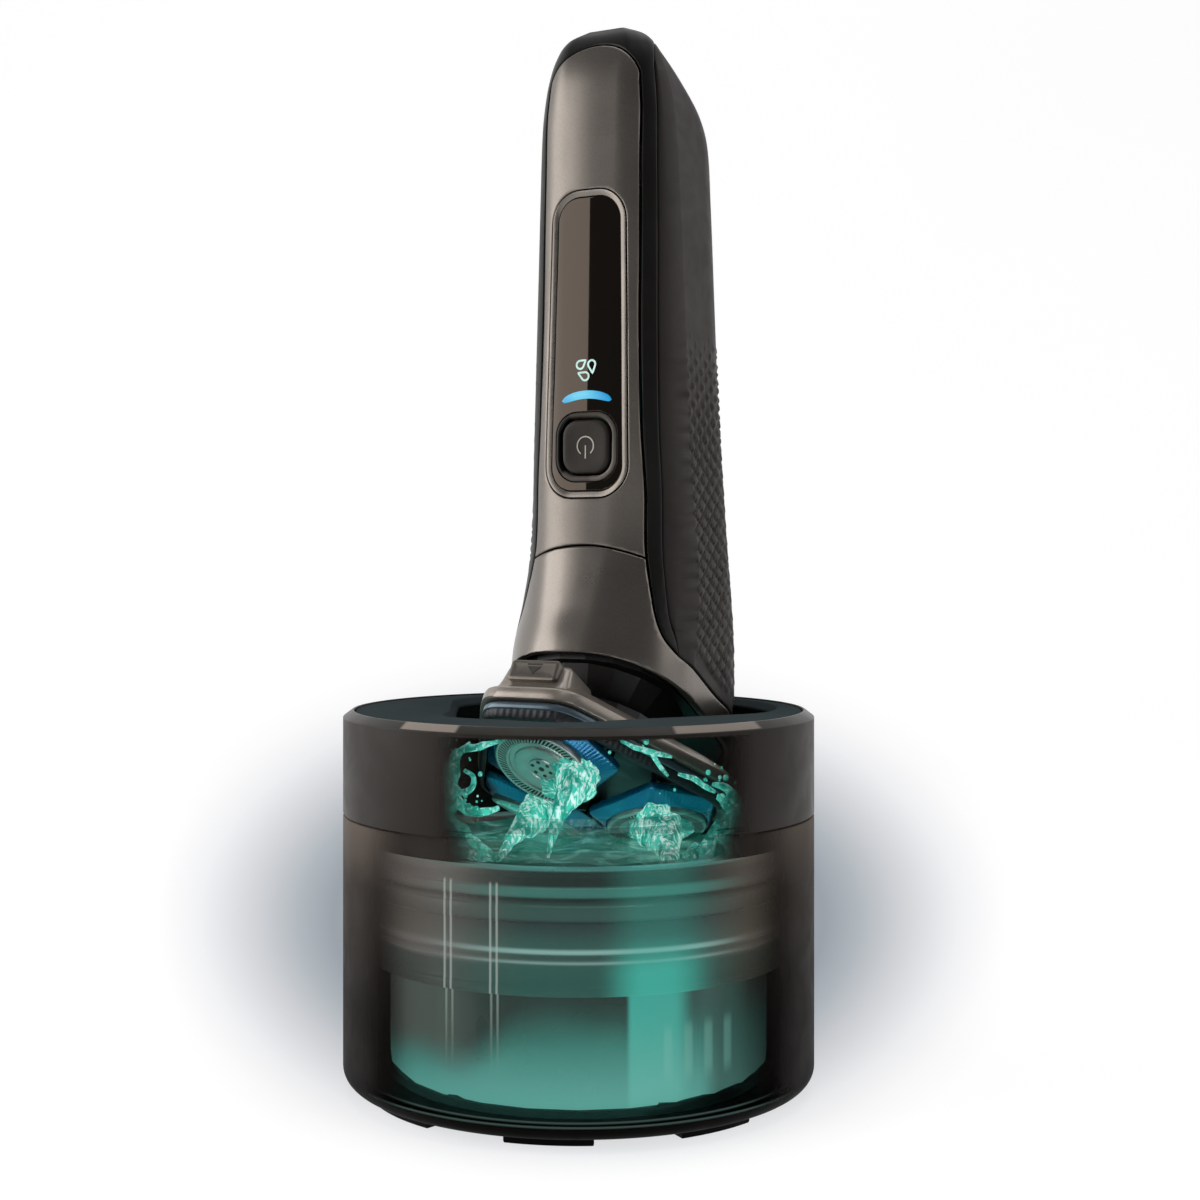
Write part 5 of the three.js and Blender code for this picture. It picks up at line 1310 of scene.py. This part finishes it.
bowlProfile = [(0, 43.0)] + bowlWall(36.2, 43.0) + [(45.0, 56.7), (45.0, 58.2), (34.9, 58.2),
    (34.7, 58.0)] + bowlWall(34.7,
    44.5)[::-1] + [(0, 44.5)]
podPiece("cleaning_bowl", bowlProfile, clearBowl, "pod_top")
cupProfile = [(0, 3.3, 0), (37.3, 3.3, 1.0), (39.0, 4.0, 1.0), (39.7, 5.7, 1.0), (40.1, 47.9), (38.9, 47.9),
              (38.5, 6.1, 1.0),
              (37.1, 4.5, 1.0), (0, 4.5, 0)]
podPiece("cartridge_cup", rounded(cupProfile, 0.2, 4), clearCup, "pod_base")
lidProfile = [(40.4, 26.8), (42.1, 26.8), (42.1, 28.4), (41.6, 28.8), (41.6, 32.6), (41.85, 32.75),
              (41.85, 33.0), (41.6, 33.2),
              (41.6, 34.2),
              (41.9, 34.4), (41.9, 34.9), (41.6, 35.1), (41.6, 40.0), (42.1, 40.4), (42.1, 43.0),
              (41.6, 43.4), (41.6, 44.4), (41.95, 44.7),
              (41.95, 46.3), (41.6, 46.6), (41.6, 49.7), (36.8, 49.7), (36.8, 48.2), (40.4, 48.2)]
podPiece("cartridge_lid", rounded(lidProfile, 0.12, 2), lidLit, "pod_base")

# the fluid that the heads whirl up in the bowl

splashValues = {"level": 49.0, "reach": 32.2, "edge": 33.6, "drops": 64, "seed": 11, "light": 0.62,
                "teal": ((22, 132, 116), (76, 196, 176), (176, 236, 226)),
                "foam": ((26, 140, 124), (74, 194, 174), (214, 246, 238)),
                "pool": ((24, 108, 94), (76, 146, 133), (118, 196, 182)),
                "film": ((20, 132, 120), (60, 178, 162), (190, 238, 228))}
fluidLevel = splashValues["level"]


def splashMaterial(name, tones, scale, light=splashValues["light"], alpha=1.0, stretch=(1, 1, 1), foamy=0.5):
    # lit fluid that glows with painted light as emission, streaked and foamy; stretch draws the streaks out along
    # an axis
    low, mid, high = tones
    m = material(name, mid, (0.06, 0.14), 0.0, 0.4, Specular_IOR_Level=0.45, Alpha=alpha)
    tree, shader = shaderOf(m)
    at = add(tree, "VectorMath", {0: place(tree), 1: stretch}, operation="MULTIPLY")
    slow = noiseAt(tree, at, scale, 4.0, Distortion=1.2)
    foam = noiseAt(tree, at, scale * 3.2, 4.0, Distortion=0.8)
    colour = blend(span(slow, 0.36, 0.58), low, mid)
    colour = blend(span(foam, foamy, foamy + 0.14) * span(slow, 0.36, 0.56), colour, high)
    lit(m, colour, light)
    wire(shader, {"Base Color": colour,
                  "Normal": add(tree, "Bump", {"Strength": 0.45, "Distance": 0.0004, "Height": foam})})
    return m


splashTeal = splashMaterial("splashTeal", splashValues["teal"], 0.34)
splashFoam = splashMaterial("splashFoam", splashValues["foam"], 0.42, stretch=(1.0, 1.0, 0.4), foamy=0.46)
splashPool = splashMaterial("splashPool", splashValues["pool"], 0.055, 0.5, 0.95)
splashFilm = splashMaterial("splashFilm", splashValues["film"], 0.3, 0.5, 0.8, (0.5, 1.0, 1.0))

# the splash is laid out as seen from in front, in millimetres on the upright plane through the pod's axis;
# each place on it is then drawn towards the eye
eyeReach, eyeHeight = math.hypot(*cameraSetup["place"][:2]), cameraSetup["place"][2]


def fromFront(u, w, z):
    return (acrossX * u + acrossY * w, acrossY * u - acrossX * w, z)


def seenAt(across, height, forward):
    nearer = (eyeReach - forward) / eyeReach
    u, z = across * nearer, eyeHeight + (height - eyeHeight) * nearer
    inward = min(1.0, splashValues["edge"] / math.hypot(u, forward))
    return Vector(fromFront(u * inward, forward * inward, max(z, fluidLevel - 0.8)))


def waver(*at):
    return noise.noise(Vector(at))


def poolPart(sides=144):
    # the surface of the fluid, with rings and a raised edge
    rows = []
    for r in np.linspace(2.0, splashValues["reach"], 34):
        ring = []
        for i in range(sides):
            a = 2 * math.pi * i / sides
            x, y = r * math.cos(a), r * math.sin(a)
            lift = 0.32 * math.sin(0.62 * r + 1.6 * math.sin(a * 2 + 0.08 * r)) + 0.9 * waver(x * 0.12,
                y * 0.12, 0)
            ring.append((x, y, fluidLevel - 0.4 + lift + 0.7 * max(0.0, (r - 29.5) / 2.7) ** 2))
        rows.append(ring)
    edge = rows[-1]
    rows += [[(x * shrink, y * shrink, fluidLevel - drop) for x, y, _ in edge] for shrink,
             drop in ((1.0, 0.8), (0.9, 1.6), (0.2, 1.7))]
    return skinned(rows)


def tubePart(path, sides=12, rough=0.25):
    # a stream along stops of (across, height, forward, radius), wobbling as it goes
    n = 9
    spots = [Vector(p) for p in smoothLine([seenAt(*stop[:3]) for stop in path], n)]
    radii = np.interp(np.arange(len(spots)) / n, range(len(path)), [stop[3] for stop in path])
    rings, side = [], None
    for i, (spot, r) in enumerate(zip(spots, radii)):
        ahead = (spots[min(i + 1, len(spots) - 1)] - spots[max(i - 1, 0)]).normalized()
        side = (side - ahead * side.dot(ahead)).normalized() if side else ahead.orthogonal().normalized()
        up = ahead.cross(side)
        ring = []
        for k in range(sides):
            a = 2 * math.pi * k / sides
            out = side * math.cos(a) + up * math.sin(a)
            wobble = 1.6 * waver(*(spot + out * r) * 0.5) + 0.22 * waver(*(spot + out * r) * 2.1)
            ring.append(tuple(spot + out * max(r * (1 + rough * wobble), 0.12)))
        rings.append(ring)
    return skinned(rings)


def sheetPart(start, end, peak, height, reach=31.6, count=64):
    # a thin wall of fluid thrown up along the pool's edge, ragged on top; the angles run from the right
    # towards the front
    rings = []
    for level in np.linspace(0, 1, 14):
        outer, inner = [], []
        for i in range(count + 1):
            a = start + (end - start) * i / count
            bell = math.exp(-((a - peak) / (0.36 * (end - start))) ** 2)
            top = height * bell * (0.75 + 0.5 * waver(a * 0.09, 3.1, 0) + 0.45 * waver(a * 0.31, 7.7,
                0)) + 0.4
            r = reach + 1.5 * level + 0.9 * waver(a * 0.12, level * 2, 1.7)
            thick = 0.5 * (1 - 0.6 * level) * min(1.0, 6 * min(i, count - i) / count + 0.15)
            for row, radius in ((outer, min(r + thick, 33.9)), (inner, min(r, 33.7) - thick)):
                row.append(fromFront(radius * math.cos(rad(a)), radius * math.sin(rad(a)),
                                     fluidLevel - 0.3 + top * level))
        rings.append(outer + inner[::-1])
    return skinned(rings)


def dropParts():
    random.seed(splashValues["seed"])
    parts = []
    # the middle of each swarm, across and up, and its spread both ways
    swarms = [(-26.53, 69.01, 2.44, 4.47), (-23.68, 63.32, 2.44, 4.06), (12.47, 66.97, 4.47, 5.28),
              (24.66, 61.29, 5.28, 4.47), (31.77, 57.22, 2.84, 3.25), (-21.65, 57.22, 1.62, 2.84)]
    for i in range(splashValues["drops"]):
        across, height, wide, tall = swarms[i % len(swarms)]
        size = 0.16 + 0.42 * random.random() ** 2.2
        spot = seenAt(across + random.gauss(0, wide), height - random.gauss(0, tall * 0.5),
                      random.uniform(12, 24))
        if 49.5 < spot.z < 71.5:
            belly = [(size * math.cos(rad(t)), size * math.sin(rad(t)) * 1.15) for t in range(-60, 61, 30)]
            parts.append(moved(turned([(0, -size), *belly, (0, size)], 10), Matrix.Translation(spot)))
    return joined(*parts)


def filmPart(start, end, low, high, thick=0.35, n=32):
    # a thin film of fluid that clings to part of a cap's face
    rows = []
    for i in range(n + 1):
        a = rad(start + (end - start) * i / n)
        fade = math.sin(math.pi * i / n) ** 0.5
        row = []
        for k in range(13):
            r = low + (high - low) * k / 12 * (0.8 + 0.2 * fade) + 0.35 * waver(i * 0.3, k * 0.5, 2.0)
            depth = thick * (0.35 + 0.65 * fade) * (0.6 + 0.9 * abs(waver(i * 0.22, k * 0.25, 5.0)))
            row.append((r * math.cos(a), r * math.sin(a), -depth))
        rows.append(row + [(x, y, 0.5) for x, y, _ in row[::-1]])
    return skinned(rows)


films = [moved(filmPart(*film), headMatrix(angle)) for angle, film in (
    (-90, (60, 200, 3.2, 9.0)), (30, (-160, 150, 1.2, 7.6, 0.5)), (150, (60, 220, 3.0, 9.4)))]
whirls = [
    [(-0.12, 62.91, 15, 4.4), (-0.53, 60.47, 17, 4.2), (-1.54, 58.24, 19, 3), (-3.17, 55.8, 20, 1.9),
     (-4.39, 52.96, 21, 1.3), (-5.4, 49.51, 22, 0.8), (-6.22, 45.44, 23, 0.2)],
    [(-7.84, 55.6, 2, 3.6), (-9.47, 53.57, 8, 3.4), (-12.11, 50.93, 14, 1.9), (-14.14, 48.49, 18, 1.1),
     (-15.56, 46.26, 21, 0.7), (-16.58, 44.63, 23, 0.25)],
    [(15.32, 52.76, 9, 4.6), (16.53, 50.72, 12, 4.4), (17.55, 48.69, 17, 3), (18.36, 46.46, 21, 2),
     (18.97, 43.82, 25, 1.5), (19.17, 42.19, 26, 0.6)],
]
streams = [
    [(-15.97, 69.21, 14, 0.3), (-19.62, 68.19, 15, 0.7), (-23.68, 67.38, 15, 0.8), (-26.12, 64.33, 15, 1),
     (-26.73, 60.27, 15, 1.2), (-25.72, 56.62, 15, 1.5), (-26.33, 53.77, 15, 1.2), (-23.68, 50.72, 17, 1.5),
     (-20.43, 47.88, 20, 1.1), (-15.97, 45.04, 23, 0.5)],
    [(-26.12, 60.88, 15, 0.8), (-24.29, 58.85, 16, 0.7), (-21.86, 59.46, 17, 0.6), (-21.45, 61.9, 17, 0.5),
     (-23.28, 63.32, 17, 0.35)],
    [(-25.11, 57.22, 14, 1.2), (-22.47, 55.19, 14, 1), (-19.22, 54.79, 12, 0.8), (-16.37, 55.6, 10, 0.5)],
    [(-22.06, 69.01, 13, 0.3), (-24.5, 66.16, 14, 0.6), (-24.9, 62.91, 15, 0.8), (-25.92, 60.07, 15, 0.9)],
    [(8.61, 69.21, 22, 0.35), (11.66, 67.79, 23, 0.5), (14.91, 66.97, 23, 0.55), (18.97, 65.96, 23, 0.3)],
    [(14.91, 66.77, 23, 0.4), (16.13, 64.54, 23, 0.45), (18.16, 62.1, 23, 0.3)],
    [(20.19, 62.51, 23, 0.3), (23.44, 61.49, 23, 0.55), (25.88, 59.87, 22, 0.5), (27.71, 58.85, 21, 0.35)],
    [(27.1, 60.47, 12, 0.4), (30.35, 59.26, 12, 1), (32.17, 56.01, 12, 1.3), (32.99, 52.35, 12, 1.7),
     (33.6, 48.69, 12, 1.3), (34, 44.63, 14, 0.9)],
    [(28.72, 58.04, 14, 0.9), (31.16, 54.79, 13, 1.2), (32.38, 51.13, 12, 1.4), (33.19, 47.07, 12, 1.1)],
    [(28.32, 53.16, 18, 0.4), (27.5, 50.32, 18, 0.7), (29.13, 48.49, 17, 0.8), (29.94, 46.05, 18, 0.8),
     (29.13, 43.82, 19, 0.4)],
    [(31.16, 50.12, 14, 0.8), (29.94, 47.47, 16, 0.9), (31.97, 44.63, 16, 0.6)],
]
print("splash")
for name, part, look in (
    ("films", joined(*films), splashFilm), ("pool", poolPart(), splashPool),
    ("whirls", joined(*[tubePart(w, 44, 0.16) for w in whirls]), splashFoam),
    ("streams", joined(*[tubePart(s) for s in streams]), splashTeal),
    ("sheets", joined(sheetPart(120, 205, 163, 11.5), sheetPart(-20, 55, 18, 9.5)), splashTeal),
    ("drops", dropParts(), splashTeal),
):
    piece("fluid_" + name, part, look, "pod_top", "cleaning_fluid", sharp=80)

# materials for the nodes that show as they are


def pipeMaterial():
    # a clear pipe that shows mostly as two bright edges, which fade downwards; the edges are painted highlights
    # that glow as emission
    m = material("clearPipe", (200, 214, 208), (0.1, 0.2), 0.0, 0.2, 0.01)
    tree, shader = shaderOf(m)
    edge = span(add(tree, "LayerWeight", {"Blend": 0.5}, "Facing"), 0.78, 0.93)
    alpha = edge * span(axes(tree)[2], 10.0, 30.0, 0.12, 1.0)
    wire(shader, {"Alpha": alpha * 0.85 + 0.03})
    lit(m, blend(edge, (90, 120, 112), (196, 208, 202)), 0.7)
    return m


nylonWhite = material("nylonWhite", (216, 212, 200), (0.4, 0.55), 0.0, 0.1, 0.03)
neckBlack = material("neckBlack", (16, 15, 15), (0.35, 0.45), 0.0, 0.05, 0.015)
nodeLooks = {
    "neck_base": neckBlack, "gear_plate": neckBlack, "motor_can": bladeSteel, "motor_rotor": bladeSteel,
    "button_switch": silverTrim,
    "battery": material("cellWrap", (48, 108, 172), (0.3, 0.4), 0.0, 0.06, 0.01),
    "circuit_board": material("boardGreen", (28, 92, 52), (0.4, 0.5), 0.0, 0.2, 0.05),
    "charging_socket": bandBlack, "bowl_seal": sealSilicone, "cleaning_fluid": fluidLit,
    "standpipe": pipeMaterial(), "cartridge_filter": clearPlastic("filterPale", (120, 170, 158), 0.5, 0.6),
}
for name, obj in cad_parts.items():
    obj.data.materials.clear()
    obj.data.materials.append(bladeSteel if name.startswith("cutter") else nodeLooks.get(name, nylonWhite))

# floor, backdrop and lamps, in metres

stageValues = {"paper": 0.3, "glow": 0.86, "world": 0.17, "front": -2.6, "back": 1.1, "sweep": 0.5,
               "wide": 2.6, "tall": 2.2, "turn": 30,
               "haloHalf": 86.0, "haloRise": 52.0, "haloHeight": 33.0}


def haloColour(tree):
    # painted shade: the grey halo that lies round the pod's foot, laid over floor and wall as it stands behind the
    # object
    u, w, z = frontWays(tree)
    scale = eyeReach / calc("MAXIMUM", eyeReach - w, 60.0)
    high = (z - eyeHeight) * scale + (eyeHeight - stageValues["haloHeight"])
    a, b = (calc("POWER", calc("ABSOLUTE", way / size), 2.0) for way, size in (
        (u * scale, stageValues["haloHalf"]), (high, stageValues["haloRise"])))
    ring = calc("SQRT", a + b) + span(w, 75.0, 105.0)
    return steps(ring, 0.4, 1.2, (0.58, 150, 157, 165), (0.66, 171, 178, 184), (0.78, 209, 210, 214),
                 (0.9, 237, 238, 240),
                 (1.0, 250, 250, 250), (1.1, 255, 255, 255))


def makeStage(s):
    # floor that curves up into a backdrop behind
    back, r = s["back"], s["sweep"]
    profile = [(s["front"], 0.0)] + arc(back - r, r, r, -90, 90, 16) + [(back, s["tall"])]
    turn = Matrix.Rotation(rad(s["turn"]), 4, "Z")
    points = [tuple(turn @ Vector((x, y, z))) for x in (-s["wide"], s["wide"]) for y, z in profile]
    m = len(profile)
    mesh = bpy.data.meshes.new("sweep")
    mesh.from_pydata(points, [], [(i, i + 1, m + i + 1, m + i) for i in range(m - 1)])
    mesh.shade_smooth()
    obj = bpy.data.objects.new("sweep", mesh)
    bpy.context.scene.collection.objects.link(obj)
    paper = bpy.data.materials.new("paper")
    paper.use_nodes = True
    tree, shader = shaderOf(paper)
    halo = haloColour(tree)
    grain = span(noiseAt(tree, place(tree), 0.004, 2.0), 0.2, 0.8, s["paper"] * 0.97, s["paper"] * 1.03)
    camera, glossy, through = add(tree, "LightPath",
                                  out=("Is Camera Ray", "Is Glossy Ray", "Is Transmission Ray"))
    wire(shader, {
        "Roughness": 0.85, "Specular IOR Level": 0.05, "Emission Color": halo,
        "Base Color": add(tree, "VectorMath", {0: halo, "Scale": grain}, operation="SCALE"),
        "Emission Strength": calc("MAXIMUM", camera, calc("MAXIMUM", glossy, through)) * s["glow"],
    })
    mesh.materials.append(paper)


makeStage(stageValues)


def lamp(name, where, target, size, radiance, colour=(1, 1, 1), high=None):
    data = bpy.data.lights.new(name, "AREA")
    data.shape = "RECTANGLE"
    data.size, data.size_y = size, high or size
    data.energy = radiance * math.pi * data.size * data.size_y
    data.color = colour
    obj = bpy.data.objects.new(name, data)
    bpy.context.scene.collection.objects.link(obj)
    obj.location = where
    obj.rotation_euler = (Vector(target) - Vector(where)).to_track_quat("-Z", "Y").to_euler()
    obj.visible_camera = False


def around(azimuth, distance, height):
    # a place seen from above: azimuth 0 is in front of the handle, positive towards its right
    return (distance * math.sin(rad(azimuth)), -distance * math.cos(rad(azimuth)), height)


# the key's right edge is mirrored down the middle of the display
lamp("keySoft", around(-55, 0.95, 0.41), (0, 0, 0.41), 0.9, 3.0, (1.0, 0.985, 0.97), 0.8)
lamp("gripSoft", around(112, 1.0, 0.5), (0, 0, 0.12), 0.9, 1.0, (1.0, 0.99, 0.98), 0.8)
lamp("topSoft", (0.1, 0.1, 1.2), (0, 0, 0.12), 0.9, 1.5)
lamp("headLight", (0.0215, -0.0372, 0.056), (0, 0, 0.050), 0.04, 3.2, (0.96, 0.99, 1.0), 0.008)
lamp("poolGlow", (0.0, -0.002, 0.0505), (0, -0.002, 0.06), 0.05, 0.35, (0.25, 0.8, 0.72), 0.05)


def worldStrength(tree, dim):
    # white where it is seen, dim as a light; mirrored white only behind the object, since the room in front
    # is dark
    camera, glossy, through = add(tree, "LightPath",
                                  out=("Is Camera Ray", "Is Glossy Ray", "Is Transmission Ray"))
    x, y, _ = axes(tree, add(tree, "TexCoord", out="Generated"))
    mirrored = glossy * calc("GREATER_THAN", y * acrossX - x * acrossY, 0.2)
    return span(calc("MAXIMUM", camera, calc("MAXIMUM", mirrored, through)), 0.0, 1.0, dim, 1.0)


world = bpy.data.worlds.new("studio")
bpy.context.scene.world = world
world.use_nodes = True
wire(world.node_tree.nodes["Background"],
     {"Color": (0.97, 0.98, 1.0, 1.0), "Strength": worldStrength(world.node_tree, stageValues["world"])})
